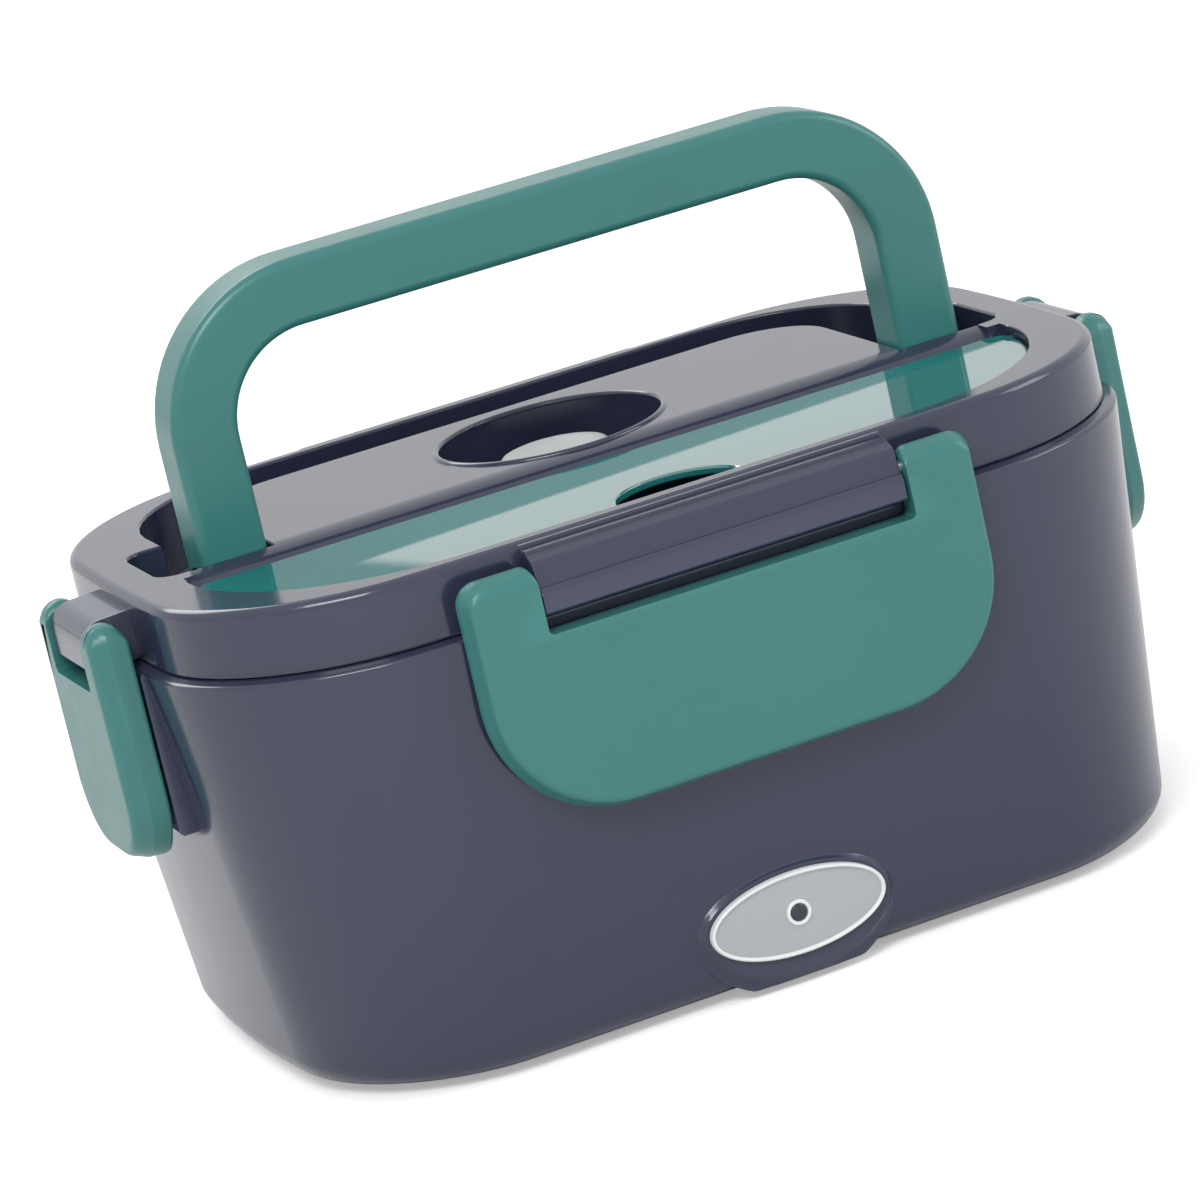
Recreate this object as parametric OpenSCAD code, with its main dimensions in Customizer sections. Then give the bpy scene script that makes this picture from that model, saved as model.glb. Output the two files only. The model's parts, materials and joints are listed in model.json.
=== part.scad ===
// Electric lunch box: a heated tub with a lift-out steel container under a
// latched lid that carries the handle, the steam vent and the cutlery tray.
// Origin: middle of the footprint, on the table. Front is -Y, up is +Z.

/* [Body] */
// Length of the tub over its rim
body_l = 224; // [205:1:245]
// Depth of the tub over its rim
body_d = 149.4; // [140:0.2:165]
// Corner radius of the tub at its rim
corner_r = 46; // [38:0.5:54]
// Length of the tub at its base
base_l = 208; // [190:0.2:220]
// Depth of the tub at its base
base_d = 139.8; // [132:0.2:150]
// Corner radius of the tub at its base
base_corner_r = 38; // [32:0.5:46]
// Height of the rim's outer edge above the table
rim_z = 95; // [88:0.5:104]
// Bow of the end walls at the rim
end_bow = 3.4; // [0:0.1:6]
// Bow of the end walls at the base
base_end_bow = 7.4; // [0:0.1:10]
// Bow of the long walls at the rim
side_bow = 1.9; // [0:0.1:4]
// Wall thickness of the tub
wall = 2.6; // [2:0.1:3.4]
// Rounding of the tub's bottom edge
base_fillet = 6; // [4:0.5:8]
// Width of the rim, from its outer edge to the mouth
rim_w = 4.2; // [4:0.1:5]
// Height of the rim's shoulder above its outer edge
shoulder_rise = 0.4; // [0.3:0.1:2]
// Underside of the tub's inner floor
floor_z = 20; // [18:0.5:24]
// Thickness of the inner floor
floor_t = 2.4; // [2:0.1:3]

/* [Base] */
// Height of the rubber feet under the tub
foot_h = 1.8; // [1:0.1:3]
// Radius of a rubber foot
foot_r = 6; // [4:0.5:8]
// Thickness of the bottom cover
cover_t = 2.5; // [2:0.1:3]
// Radius of a cover screw's shank
screw_r = 1.5; // [1.2:0.1:2]
// Cover screw places, from the middle lengthways
screw_x = 76; // [68:1:80]
// Cover screw places, from the middle crossways
screw_y = 44; // [38:1:46]

/* [Heater] */
// Length of the heating plate
plate_l = 120; // [100:1:136]
// Depth of the heating plate
plate_d = 70; // [60:1:84]
// Thickness of the heating plate
plate_t = 2; // [1.5:0.1:3]
// How far the heating plate stands above the inner floor
plate_proud = 0.6; // [0.3:0.1:1]
// Length of the heater block
heater_l = 44; // [36:1:50]
// Depth of the heater block
heater_d = 24; // [16:1:30]
// Thickness of the heater block
heater_t = 4.6; // [3:0.1:6]
// Radius of the thermostat can
thermostat_r = 7.5; // [6:0.1:8]

/* [Indicator] */
// Half length of the oval plate
oval_a = 20.3; // [16:0.1:24]
// Half height of the oval plate
oval_b = 9; // [7:0.1:10]
// Height of the oval's middle above the table
oval_z = 16; // [13:0.1:17]
// How far the boss under the oval stands out of the wall
oval_proud = 1.4; // [1.2:0.1:5]
// Width of the raised rim round the oval
bezel_w = 1; // [0.8:0.1:2]
// Radius of the lamp lens
lens_r = 1.9; // [1.2:0.1:2.5]

/* [Power inlet] */
// Width of the figure-eight socket well
inlet_w = 16.4; // [15.6:0.1:18]
// Height of the figure-eight socket well
inlet_h = 8.4; // [7.8:0.1:9]
// Distance between the two contact pins
pin_gap = 8.6; // [8:0.1:9]
// Radius of a contact pin
contact_r = 1.2; // [1:0.05:1.3]
// Depth of the socket well
well_depth = 12; // [10:0.5:14]
// Height of the inlet's middle above the table
inlet_z = 12; // [11:0.5:13]

/* [Container] */
// How far the container's rim stays inside the tub's mouth
container_gap = 1.5; // [1:0.1:3]
// Sheet thickness of the container
sheet = 0.8; // [0.6:0.1:1.2]
// Width of the container's rim
container_rim_w = 4.4; // [3.5:0.1:6]
// How far the container's walls lean in
container_draft = 1; // [0:0.5:4]
// Rounding at the container's foot
container_fillet = 9; // [6:0.5:14]
// Where the side bowl's inner wall stands, from the middle
bowl_x = 36; // [25:1:50]
// Depth of the side bowl
bowl_h = 36; // [25:1:45]
// Wall thickness of the side bowl
bowl_wall = 1.6; // [1.2:0.1:2.2]

/* [Lid] */
// Height of the lid's top above the table
lid_z = 110.1; // [108:0.1:118]
// How far the lid's skirt stays inside the tub's rim
skirt_inset = 2.6; // [2:0.1:3.2]
// Thickness of the lid's skirt
skirt_t = 2.2; // [1.8:0.1:2.4]
// How much further in the lid's long sides stand than its ends
skirt_side_in = 0.6; // [0:0.1:1]
// Thickness of the lid's top
top_t = 2.2; // [1.8:0.1:3]
// Rounding of the lid's top edge
lid_edge_r = 2; // [1.4:0.1:4.5]
// Wall thickness of the pockets moulded into the lid
pocket_wall = 1.5; // [1.2:0.1:1.8]
// Floor height of the handle channel
channel_z = 93.4; // [93:0.1:95]
// Thickness of the lid's inner panel
panel_t = 1.8; // [1.4:0.1:2.2]
// Height of the silicone seal
seal_h = 2.2; // [1.6:0.1:3]
// Width of the silicone seal
seal_w = 4.4; // [3:0.1:5]

/* [Steam vent] */
// Radius of the round vent recess
vent_r = 25; // [20:0.5:25.5]
// Middle of the vent, behind the middle of the lid
vent_y = 16.6; // [14:0.1:20]
// Floor height of the vent recess
vent_floor_z = 98; // [97:0.1:102]
// Radius of the vent plug's cap
plug_r = 12.5; // [9:0.1:15]
// Top of the vent plug above the table
plug_z = 105.8; // [104:0.1:107]
// Radius of the vent plug's stem
stem_r = 4; // [3:0.1:5]

/* [Cutlery tray] */
// Half length of the cutlery cover
tray_a = 96.2; // [90:0.2:97]
// Front edge of the cutlery cover, ahead of the middle
tray_front = 65; // [60:0.2:65.4]
// Back edge of the cutlery cover, ahead of the middle
tray_back = 15.4; // [14.6:0.1:18]
// Corner radius of the cutlery cover
tray_r = 46; // [28:0.5:48]
// How far the cutlery cover lies below the lid's top
tray_sink = 1.9; // [1.4:0.1:2.4]
// Thickness of the cutlery cover
glass_t = 1.8; // [1.4:0.1:2.4]
// Floor height of the cutlery tray
tray_z = 95.6; // [95:0.1:98]
// Radius of the cover's hinge barrel
barrel_r = 1.6; // [1.4:0.1:2]
// Front edge of the flat panel, ahead of the middle, where the lid rolls down to the cover
roll_y = 6.7; // [5:0.1:8]
// Depth of the roll's lower edge below the lid's top
roll_drop = 3.9; // [3:0.1:4.4]
// Half width of the finger notch in the cover
notch_a = 14; // [8:0.5:18]
// Depth of the finger notch in the cover
notch_d = 19; // [15:0.5:24]

/* [Handle] */
// Width of the handle over its legs
handle_l = 180; // [160:1:181]
// Thickness of the grip, seen from the front
grip_h = 14.8; // [10:0.1:15.4]
// Thickness of the grip, seen from above
grip_t = 15; // [12:0.1:15.4]
// Top of the raised handle above the table
handle_z = 168; // [150:1:169]
// Outer corner radius of the handle
handle_r = 34; // [24:0.5:40]
// Pivot height above the table
pivot_z = 101.5; // [101:0.1:102]
// Pivot place ahead of the middle
pivot_y = 1.3; // [0.8:0.1:1.8]
// Rounding of the grip's edges
grip_edge_r = 2.2; // [1:0.1:3]
// Radius of a handle pin
handle_pin_r = 2; // [1.5:0.1:2.5]

/* [Latches] */
// Half width of the front and rear latches
latch_a = 58.4; // [50:0.2:60]
// Half width of the end latches
end_latch_a = 21; // [18:0.2:22]
// Half width of the gap between the front latch's ears
ear_gap = 41.8; // [34:0.2:44]
// Half width of the gap between an end latch's ears
end_ear_gap = 12.9; // [9:0.2:13.5]
// Corner radius of the front and rear latches
latch_r = 28; // [16:0.5:30]
// Corner radius of the end latches
end_latch_r = 16; // [8:0.5:17]
// Height of the latch pins above the table
latch_pin_z = 102.3; // [101.5:0.1:103.5]
// Bottom of the front and rear latches, below their pin
latch_drop = 50.8; // [40:0.2:58]
// Bottom of the end latches, below their pin
end_latch_drop = 50.2; // [38:0.2:56]
// Outer face of a latch beyond its pin
latch_face = 4.3; // [4:0.1:5]
// Front wall of a latch
latch_wall = 2.4; // [1.8:0.1:2.6]
// Draft of a latch's side faces
latch_draft = 2.4; // [1:0.1:3.5]
// Radius of a latch pin
latch_pin_r = 1.5; // [1:0.1:1.8]
// How far the front latch's pin stands beyond the rim
pin_out = 1.5; // [1.2:0.1:2.5]
// How far an end latch's pin stands beyond the rim
end_pin_out = 5.2; // [4.6:0.1:6]

/* [Clearances] */
// Radial clearance of a hinge on its pin
run = 0.05; // [0.02:0.01:0.1]
// Gap between parts that move past each other
gap = 0.5; // [0.4:0.05:0.8]
// Gap that a snap bead leaves outside its ridge
snap_gap = 0.15; // [0.1:0.05:0.3]

/* [Hidden] */
$fn = 64;

side_steps = 4;      // points along half a straight side
corner_steps = 12;   // points round one corner
slate = [0.20, 0.22, 0.28];
teal = [0.26, 0.52, 0.48];

// --- outlines -------------------------------------------------------------

function mix(a, b, t) = a + (b - a) * t;

// One quarter of a rounded rectangle, from the end of its long axis round to its side
function quarter(a, b, r) = concat(
    [for (i = [0 : side_steps - 1]) [a, (b - r) * i / side_steps]],
    [for (i = [0 : corner_steps])
        let (t = 90 * i / corner_steps) [a - r + r * cos(t), b - r + r * sin(t)]],
    [for (i = [1 : side_steps]) [(a - r) * (1 - i / side_steps), b]]);

// A rounded rectangle of half sizes a and b whose ends and sides bow outwards
function outline(a, b, r, bow_end, bow_side) =
    let (q = quarter(a, b, r), n = len(q) - 1)
    [for (p = concat([for (i = [0 : n - 1]) q[i]],
                     [for (i = [n : -1 : 1]) [-q[i][0], q[i][1]]],
                     [for (i = [0 : n - 1]) -q[i]],
                     [for (i = [n : -1 : 1]) [q[i][0], -q[i][1]]]))
        [p[0] * (1 - bow_end / a * pow(p[1] / b, 2)),
         p[1] * (1 - bow_side / b * pow(p[0] / a, 2))]];

// The tub's outer wall at a height, drawn in by an inset
function tub_outline(z, inset) =
    let (t = (z - foot_h) / (rim_z - foot_h))
    outline(mix(base_l, body_l, t) / 2 - inset, mix(base_d, body_d, t) / 2 - inset,
            mix(base_corner_r, corner_r, t) - inset,
            mix(base_end_bow, end_bow, t), mix(0, side_bow, t));

// The rim's outline drawn in by an inset: everything in the tub's mouth follows it
function rim_outline(inset) = tub_outline(rim_z, inset);

function at(points, z) = [for (p = points) [p[0], p[1], z]];
function tub_ring(z, inset) = at(tub_outline(z, inset), z);
function rim_ring(z, inset) = at(rim_outline(inset), z);

// Points round a quarter turn, as [how far in, how far up] for an edge of radius r
function edge_steps(r, n) = [for (i = [0 : n]) [r * (1 - sin(90 * i / n)), r * (1 - cos(90 * i / n))]];

function ellipse_points(a, b, n = 48) =
    [for (i = [0 : n - 1]) [a * cos(360 * i / n), b * sin(360 * i / n)]];

// --- general solids -------------------------------------------------------

// A closed skin over rings of equal length, capped at the first and the last
module loft(rings) {
    n = len(rings[0]);
    m = len(rings);
    polyhedron(
        points = [for (r = rings) each r],
        faces = concat(
            [[for (i = [0 : n - 1]) i]],
            [for (k = [0 : m - 2], i = [0 : n - 1])
                let (j = (i + 1) % n, a = k * n, b = a + n)
                each [[a + i, b + i, b + j], [a + i, b + j, a + j]]],
            [[for (i = [n - 1 : -1 : 0]) (m - 1) * n + i]]));
}

// A closed band: the rings follow each other round its section and back to the first
module band(rings) {
    n = len(rings[0]);
    m = len(rings);
    polyhedron(
        points = [for (r = rings) each r],
        faces = [for (k = [0 : m - 1], i = [0 : n - 1])
            let (j = (i + 1) % n, a = k * n, b = (k + 1) % m * n)
            each [[a + i, b + i, b + j], [a + i, b + j, a + j]]]);
}

// A flat rectangle with rounded corners, from one corner to the other
module round_rect(x0, y0, x1, y1, r) {
    translate([x0 + r, y0]) square([x1 - x0 - 2 * r, y1 - y0]);
    translate([x0, y0 + r]) square([x1 - x0, y1 - y0 - 2 * r]);
    for (x = [x0 + r, x1 - r], y = [y0 + r, y1 - r]) translate([x, y]) circle(r);
}

// A cylinder along X between two places
module rod_x(x0, x1, r) translate([x0, 0, 0]) rotate([0, 90, 0]) cylinder(h = x1 - x0, r = r);

// Copies at the four corners of a rectangle
module corners(x, y) for (sx = [-1, 1], sy = [-1, 1]) translate([sx * x, sy * y, 0]) children();

// --- derived heights and places -------------------------------------------

cover_top_z = foot_h + cover_t;
floor_top_z = floor_z + floor_t;
plate_top_z = floor_top_z + plate_proud;
plate_z = plate_top_z - plate_t;
heater_z = plate_z - heater_t;
shoulder_z = rim_z + shoulder_rise;
lip_z = rim_z - 4;
skirt_z = shoulder_z + 0.3;
ceiling_z = lid_z - top_t;
panel_top_z = channel_z - pocket_wall;
panel_z = panel_top_z - panel_t;
seal_z = panel_z - seal_h;
container_top_z = seal_z - 0.2;
container_z = plate_top_z + 0.1;
cover_ledge = base_fillet + 3;
cavity_inset = wall + 0.6;
mouth_inset = rim_w;
wall_front = mix(base_d, body_d, (oval_z - foot_h) / (rim_z - foot_h)) / 2;
oval_y = -(wall_front + oval_proud);

// --- tub and base ---------------------------------------------------------

module outer_shell() color(slate) {
    difference() {
        union() {
            difference() {
                tub_body();
                base_cavity();
            }
            corners(screw_x, screw_y) translate([0, 0, cover_top_z])
                cylinder(h = floor_z - cover_top_z + 0.5, r = screw_r + 2.3);
            indicator_boss();
            for (s = [0, 180]) rotate(s) {
                end_pad();
                catch_ridge_end();
                catch_ridge_side();
            }
        }
        plate_window();
        inlet_opening(gap);
        translate([0, oval_y - 1, oval_z]) rotate([-90, 0, 0]) cylinder(h = 12, r = lens_r + 0.1);
        corners(screw_x, screw_y) translate([0, 0, cover_top_z - 1])
            cylinder(h = 12, r = screw_r - 0.25);
    }
}

// Wall, rim and inner floor in one skin: up the outside, over the rim and down the inside
module tub_body() {
    top_edge = 0.9;
    loft(concat(
        [for (e = edge_steps(base_fillet, 5)) tub_ring(foot_h + e[1], e[0])],
        [tub_ring(rim_z - top_edge, 0), rim_ring(rim_z - 0.3, 0.25), rim_ring(rim_z, top_edge),
         rim_ring(shoulder_z - 0.15, skirt_inset - 0.4), rim_ring(shoulder_z, skirt_inset + 0.1),
         rim_ring(shoulder_z, mouth_inset - 0.4), rim_ring(shoulder_z - 0.4, mouth_inset),
         rim_ring(lip_z, mouth_inset), tub_ring(lip_z - 3, wall),
         tub_ring(floor_top_z + 4, wall), tub_ring(floor_top_z + 1.2, wall + 1.2),
         tub_ring(floor_top_z, wall + 4)]));
}

// The space under the inner floor, with the ledge that the bottom cover seats on
module base_cavity() {
    ledge_w = 1.8;
    loft([tub_ring(foot_h - 1, cover_ledge), tub_ring(cover_top_z, cover_ledge),
          tub_ring(cover_top_z + 0.02, cover_ledge + ledge_w),
          tub_ring(cover_top_z + 1.6, cover_ledge + ledge_w),
          tub_ring(foot_h + base_fillet + 2, cavity_inset), tub_ring(floor_z, cavity_inset)]);
}

// The swelling at the foot of the front wall that carries the oval plate
module indicator_boss() {
    depth = oval_proud + 1.3;
    toe = 3.6;
    loft([boss_ring(0.9, 0.9, oval_y, 0), boss_ring(1.5, 1.3, oval_y + 0.2 * depth, 0.12),
          boss_ring(2.2, 2.2, oval_y + 0.5 * depth, 0.12), boss_ring(3.2, 4.6, oval_y + 0.8 * depth, 0.12),
          boss_ring(4, 7, oval_y + depth, 0)]);
    translate([-oval_a * 0.7, oval_y + depth - 0.5, foot_h]) cube([oval_a * 1.4, base_fillet, toe]);
}

// One ellipse of the boss, grown from the oval, whose lower half flares outwards to a flat foot
function boss_ring(grow_a, grow_b, y, flare) =
    [for (p = ellipse_points(oval_a + grow_a, oval_b + grow_b))
        let (low = max(0, -p[1]) * flare)
        [-p[0], y - low, max(oval_z + p[1] - 2 * low, foot_h)]];

pad_x = body_l / 2 + 0.3;            // outer face of an end pad
pad_a = end_latch_a - 0.4;           // half width of an end pad
pad_z = latch_pin_z - end_latch_drop + 6; // bottom of an end pad
catch_z = rim_z - 7;                 // underside of a catch ridge
catch_h = 2.3;                       // height of a catch ridge
catch_lip = 1;                       // height of its flat outer edge
catch_out = 1.2;                     // how far a catch ridge stands out
bead_gap_z = 0.7;                    // room between a catch ridge and the bead below it

// Half depth of the tub's wall at the catch ridges
catch_wall_y = mix(base_d, body_d, (catch_z - foot_h) / (rim_z - foot_h)) / 2;
// Half length of the tub's wall where an end pad starts
pad_wall_x = mix(base_l, body_l, (pad_z - foot_h) / (rim_z - foot_h)) / 2;

// The upright flat pad behind an end latch, which makes up for the wall's slope
module end_pad() {
    translate([0, pad_a, 0]) rotate([90, 0, 0]) linear_extrude(2 * pad_a)
        polygon([[pad_wall_x - 1.4, pad_z], [pad_x - 0.8, pad_z], [pad_x, pad_z + 1],
                 [pad_x, rim_z - 1], [pad_x - 0.6, rim_z - 0.4], [pad_x - 2, rim_z - 0.4]]);
}

module catch_profile() polygon([[-1, 0], [catch_out, 0], [catch_out, catch_lip], [-1, catch_h]]);

module catch_ridge_end() {
    translate([pad_x, end_ear_gap - 1, catch_z]) rotate([90, 0, 0])
        linear_extrude(2 * end_ear_gap - 2) catch_profile();
}

module catch_ridge_side() {
    translate([-(ear_gap - 4), -catch_wall_y, catch_z]) rotate([90, 0, -90]) mirror([0, 0, 1])
        linear_extrude(2 * (ear_gap - 4)) catch_profile();
}

window_lap = 4;                      // ledge that carries the heating plate
device_room = 1.8;                   // from that ledge to the thermostat

// The stepped window that the heating plate drops into
module plate_window() {
    translate([0, 0, plate_z]) linear_extrude(10)
        round_rect(-plate_l / 2 - gap, -plate_d / 2 - gap, plate_l / 2 + gap, plate_d / 2 + gap, 10 + gap);
    translate([0, 0, floor_z - 1]) linear_extrude(10)
        round_rect(-plate_l / 2 + window_lap, -plate_d / 2 + window_lap,
                   plate_l / 2 - window_lap, plate_d / 2 - window_lap, 6);
}

housing_w = inlet_w + 5;             // the inlet's moulded body, widthways
housing_h = inlet_h + 5;             // and upwards
housing_d = well_depth + 5;          // and inwards
flange_w = 2;                        // how far the inlet's flange laps the wall
flange_t = 1;
flange_top = inlet_z + housing_h / 2 + flange_w;
wall_back = mix(base_d, body_d, (flange_top - foot_h) / (rim_z - foot_h)) / 2;
inlet_face = wall_back + flange_t + 0.02; // the inlet's outer face

module inlet_opening(clear) {
    translate([-housing_w / 2 - clear / 2, inlet_face - housing_d, inlet_z - housing_h / 2 - clear / 2])
        cube([housing_w + clear, housing_d + 5, housing_h + clear]);
}

module bottom_cover() color([0.16, 0.17, 0.2]) {
    slot_l = 26;
    slot_w = 2.4;
    difference() {
        loft([tub_ring(foot_h, cover_ledge + gap), tub_ring(cover_top_z - 0.1, cover_ledge + gap)]);
        for (x = [-2 : 2], y = [-1, 1])
            translate([x * 9, y * 30, foot_h - 1]) linear_extrude(cover_t + 2)
                round_rect(-slot_w / 2, -slot_l / 2, slot_w / 2, slot_l / 2, slot_w / 2 - 0.01);
        corners(screw_x, screw_y) translate([0, 0, foot_h - 1]) {
            cylinder(h = cover_t + 2, r = screw_r + 0.2);
            cylinder(h = 2.2, r = screw_r + 1.7);
        }
        corners(foot_x, foot_y) translate([0, 0, foot_h - 1]) cylinder(h = 1.8, r = foot_r + 0.1);
    }
}

foot_x = screw_x - 16;               // rubber feet, from the middle
foot_y = screw_y - 4;

module rubber_feet() color([0.08, 0.08, 0.08])
    corners(foot_x, foot_y) {
        cylinder(h = 0.8, r1 = foot_r - 0.8, r2 = foot_r);
        translate([0, 0, 0.8]) cylinder(h = foot_h, r = foot_r);
    }

module bottom_screws() color("silver")
    corners(screw_x, screw_y) translate([0, 0, foot_h + 0.2]) difference() {
        union() {
            cylinder(h = 1, r = screw_r + 1.4);
            translate([0, 0, 0.5]) cylinder(h = 9.5, r = screw_r - 0.3);
        }
        for (a = [0, 90]) rotate(a) translate([-1.2, -0.25, -0.1]) cube([2.4, 0.5, 0.6]);
    }

// --- heater ---------------------------------------------------------------

clamp_x = heater_l / 2 + 5;          // heater screws, from the middle

module heating_plate() color("silver") difference() {
    union() {
        translate([0, 0, plate_z]) linear_extrude(plate_t)
            round_rect(-plate_l / 2, -plate_d / 2, plate_l / 2, plate_d / 2, 10);
        for (s = [-1, 1]) translate([s * clamp_x, 0, plate_z - 3]) cylinder(h = 3.5, r = 3);
    }
    for (s = [-1, 1]) translate([s * clamp_x, 0, plate_z - 4]) cylinder(h = 4.6, r = 1.25);
}

module ptc_heater() color([0.75, 0.74, 0.7]) {
    translate([-heater_l / 2, -heater_d / 2, heater_z]) cube([heater_l, heater_d, heater_t - 0.02]);
    for (y = [-6, 6]) translate([-heater_l / 2 - 2.6, y - 1.5, heater_z + 2]) cube([3, 3, 0.6]);
}

clamp_t = 1;                         // the clamp's sheet
clamp_w = 10;                        // and its width

module heater_clamp() color([0.6, 0.6, 0.62]) difference() {
    half = heater_l / 2;
    arm = clamp_x + 5;
    low = heater_z - clamp_t - 0.02;
    arm_z = plate_z - 3 - clamp_t;
    translate([0, clamp_w / 2, 0]) rotate([90, 0, 0]) linear_extrude(clamp_w) {
        translate([-half - 0.6, low]) square([heater_l + 1.2, clamp_t]);
        for (s = [-1, 1]) {
            translate([s * (half + 0.6) - clamp_t / 2, low]) square([clamp_t, arm_z + clamp_t - low]);
            translate([s > 0 ? half + 0.1 : -arm, arm_z]) square([arm - half - 0.1, clamp_t - 0.02]);
        }
    }
    for (s = [-1, 1]) translate([s * clamp_x, 0, plate_z - 6]) cylinder(h = 4, r = 1.6);
}

module heater_screws() color("gray")
    for (s = [-1, 1]) translate([s * clamp_x, 0, plate_z - 3 - clamp_t]) {
        translate([0, 0, -1.6]) cylinder(h = 1.58, r = 2.4);
        translate([0, 0, -0.5]) cylinder(h = 3.4, r = 1.2);
    }

device_x = plate_l / 2 - window_lap - device_room - thermostat_r; // thermostat and fuse, from the middle

module thermostat() color([0.55, 0.5, 0.42]) translate([device_x, 0, plate_z]) {
    translate([0, 0, -6.02]) cylinder(h = 6, r = thermostat_r);
    for (s = [-1, 1]) translate([-1.5, s * 4 - 0.4, -9.5]) cube([3, 0.8, 3.6]);
}

fuse_l = 14;                         // length of the fuse's body
fuse_r = 1.9;                        // and its radius
fuse_lead = 4;                       // bare wire at each end of the fuse

module thermal_fuse() color([0.85, 0.85, 0.8])
    translate([-device_x, fuse_l / 2, plate_z - fuse_r - 0.1]) rotate([90, 0, 0]) {
        cylinder(h = fuse_l, r = fuse_r);
        translate([0, 0, -fuse_lead]) cylinder(h = fuse_l + 2 * fuse_lead, r = 0.5);
    }

module power_inlet() color([0.1, 0.1, 0.11]) translate([0, inlet_face, inlet_z]) rotate([90, 0, 0]) {
    difference() {
        union() {
            translate([-housing_w / 2, -housing_h / 2, 0]) cube([housing_w, housing_h, housing_d]);
            linear_extrude(flange_t)
                round_rect(-housing_w / 2 - flange_w, -housing_h / 2 - flange_w,
                           housing_w / 2 + flange_w, housing_h / 2 + flange_w, 3);
        }
        translate([0, 0, -1]) linear_extrude(well_depth + 1) socket_shape();
        for (s = [-1, 1]) translate([s * pin_gap / 2, 0, 0])
            cylinder(h = housing_d + 1, r = contact_root_r);
    }
}

// Two overlapping circles: the plug goes in either way round
module socket_shape() {
    r = inlet_h / 2;
    for (s = [-1, 1]) translate([s * (inlet_w / 2 - r), 0]) circle(r);
    square([inlet_w - 2 * r, inlet_h - 1.4], center = true);
}

contact_root_r = contact_r + 0.4;    // a contact pin's root, held in the housing
contact_set_back = 3;                // from the inlet's face in to the tip of a pin

module inlet_pins() color([0.8, 0.75, 0.5]) translate([0, inlet_face, inlet_z]) rotate([90, 0, 0])
    for (s = [-1, 1]) translate([s * pin_gap / 2, 0, 0]) {
        translate([0, 0, contact_set_back]) cylinder(h = well_depth - contact_set_back, r = contact_r);
        translate([0, 0, well_depth]) cylinder(h = housing_d - well_depth + 4, r = contact_root_r);
    }

wire_r = 0.9;                        // over the insulation
terminal_y = inlet_face - housing_d - 5; // where the wires leave the inlet's terminals

// A wire through hand-picked points, as a chain of rounded links
module wire(points) for (i = [0 : len(points) - 2]) hull() {
    translate(points[i]) sphere(wire_r, $fn = 8);
    translate(points[i + 1]) sphere(wire_r, $fn = 8);
}

module wiring() {
    x = pin_gap / 2;
    tab_x = -heater_l / 2 - 3.6;
    lead_z = plate_z - 10.6;
    color("red") wire([[x, terminal_y, inlet_z], [x + 6, terminal_y - 8, 8], [device_x, 22, 8],
                       [device_x, 4, lead_z]]);
    color("red") wire([[device_x, -4, lead_z], [device_x - 8, -14, 8], [tab_x - 2, -17, 9],
                       [tab_x, -6, heater_z + 2.3]]);
    color("blue") wire([[-x, terminal_y, inlet_z], [-x - 8, terminal_y - 8, 8], [-device_x, 24, 9],
                        [-device_x, 12.2, plate_z - 2]]);
    color("blue") wire([[-device_x, -12.2, plate_z - 2], [-device_x + 6, -16, 12],
                        [-device_x + 10, 9, 12], [tab_x, 6, heater_z + 2.3]]);
    color("white") wire([[device_x + 8, 24, 7], [device_x + 8, -30, 7], [14, -wall_front + 16, 12],
                         [5, board_y + board_t + wire_r + 0.04, 13]]);
}

// --- indicator ------------------------------------------------------------

module face_front(y, t) translate([0, y, oval_z]) rotate([90, 0, 0]) linear_extrude(t) children();

module indicator_plate() color([0.72, 0.73, 0.74]) difference() {
    face_front(oval_y, 0.8) polygon(ellipse_points(oval_a - bezel_w, oval_b - bezel_w));
    translate([0, oval_y + 1, oval_z]) rotate([90, 0, 0]) cylinder(h = 4, r = lens_r + 0.1);
}

module indicator_bezel() color("white") {
    face_front(oval_y, 1.5) difference() {
        polygon(ellipse_points(oval_a, oval_b));
        polygon(ellipse_points(oval_a - bezel_w + 0.02, oval_b - bezel_w + 0.02));
    }
    face_front(oval_y - 0.82, 0.5) difference() {
        circle(lens_r + 0.9);
        circle(lens_r + 0.1);
    }
}

board_y = -wall_front + 7.2;         // front face of the lamp's board
board_z = foot_h + base_fillet + 0.6; // its lower edge
board_t = 1.6;                       // and its thickness

module led_lens() color([0.15, 0.16, 0.18]) translate([0, oval_y - 1.1, oval_z]) rotate([-90, 0, 0])
    cylinder(h = board_y - oval_y + 1.1, r = lens_r);

module led_board() color([0.1, 0.35, 0.2]) {
    translate([-9, board_y + 0.02, board_z]) cube([18, board_t, floor_z - 1.2 - board_z]);
    translate([-8, board_y + board_t, board_z + 0.8]) cube([3, 2.2, 6]);
}

// --- container and side bowl ----------------------------------------------

rim_inset = mouth_inset + container_gap;             // the container's rim
body_inset = rim_inset + container_rim_w;            // its wall just under the rim
step_z = container_top_z - 3;                        // the ledge for the side bowl
step_w = 1.6;                                        // and its width

function container_ring(z, inset) =
    let (t = (step_z - z) / (step_z - container_z))
    at(tub_outline(z, body_inset + container_draft * t + inset), z);

// Wall, fillet and bottom at an inset from the container's outside
function container_skin(inset, up) = concat(
    [for (e = edge_steps(container_fillet - inset, 5))
        container_ring(container_z + up + e[1], e[0] + inset)],
    [container_ring(step_z - 1, inset)]);

// The lid's outline at a height, whose long sides lean in
function lid_ring(z, inset) =
    let (t = (z - skirt_z) / (lid_z - skirt_z), side = skirt_side_in * (1 + t))
    at(outline(body_l / 2 - inset, body_d / 2 - inset - side, corner_r - inset - side,
               end_bow, side_bow), z);

function reversed(list) = [for (i = [len(list) - 1 : -1 : 0]) list[i]];

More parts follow.
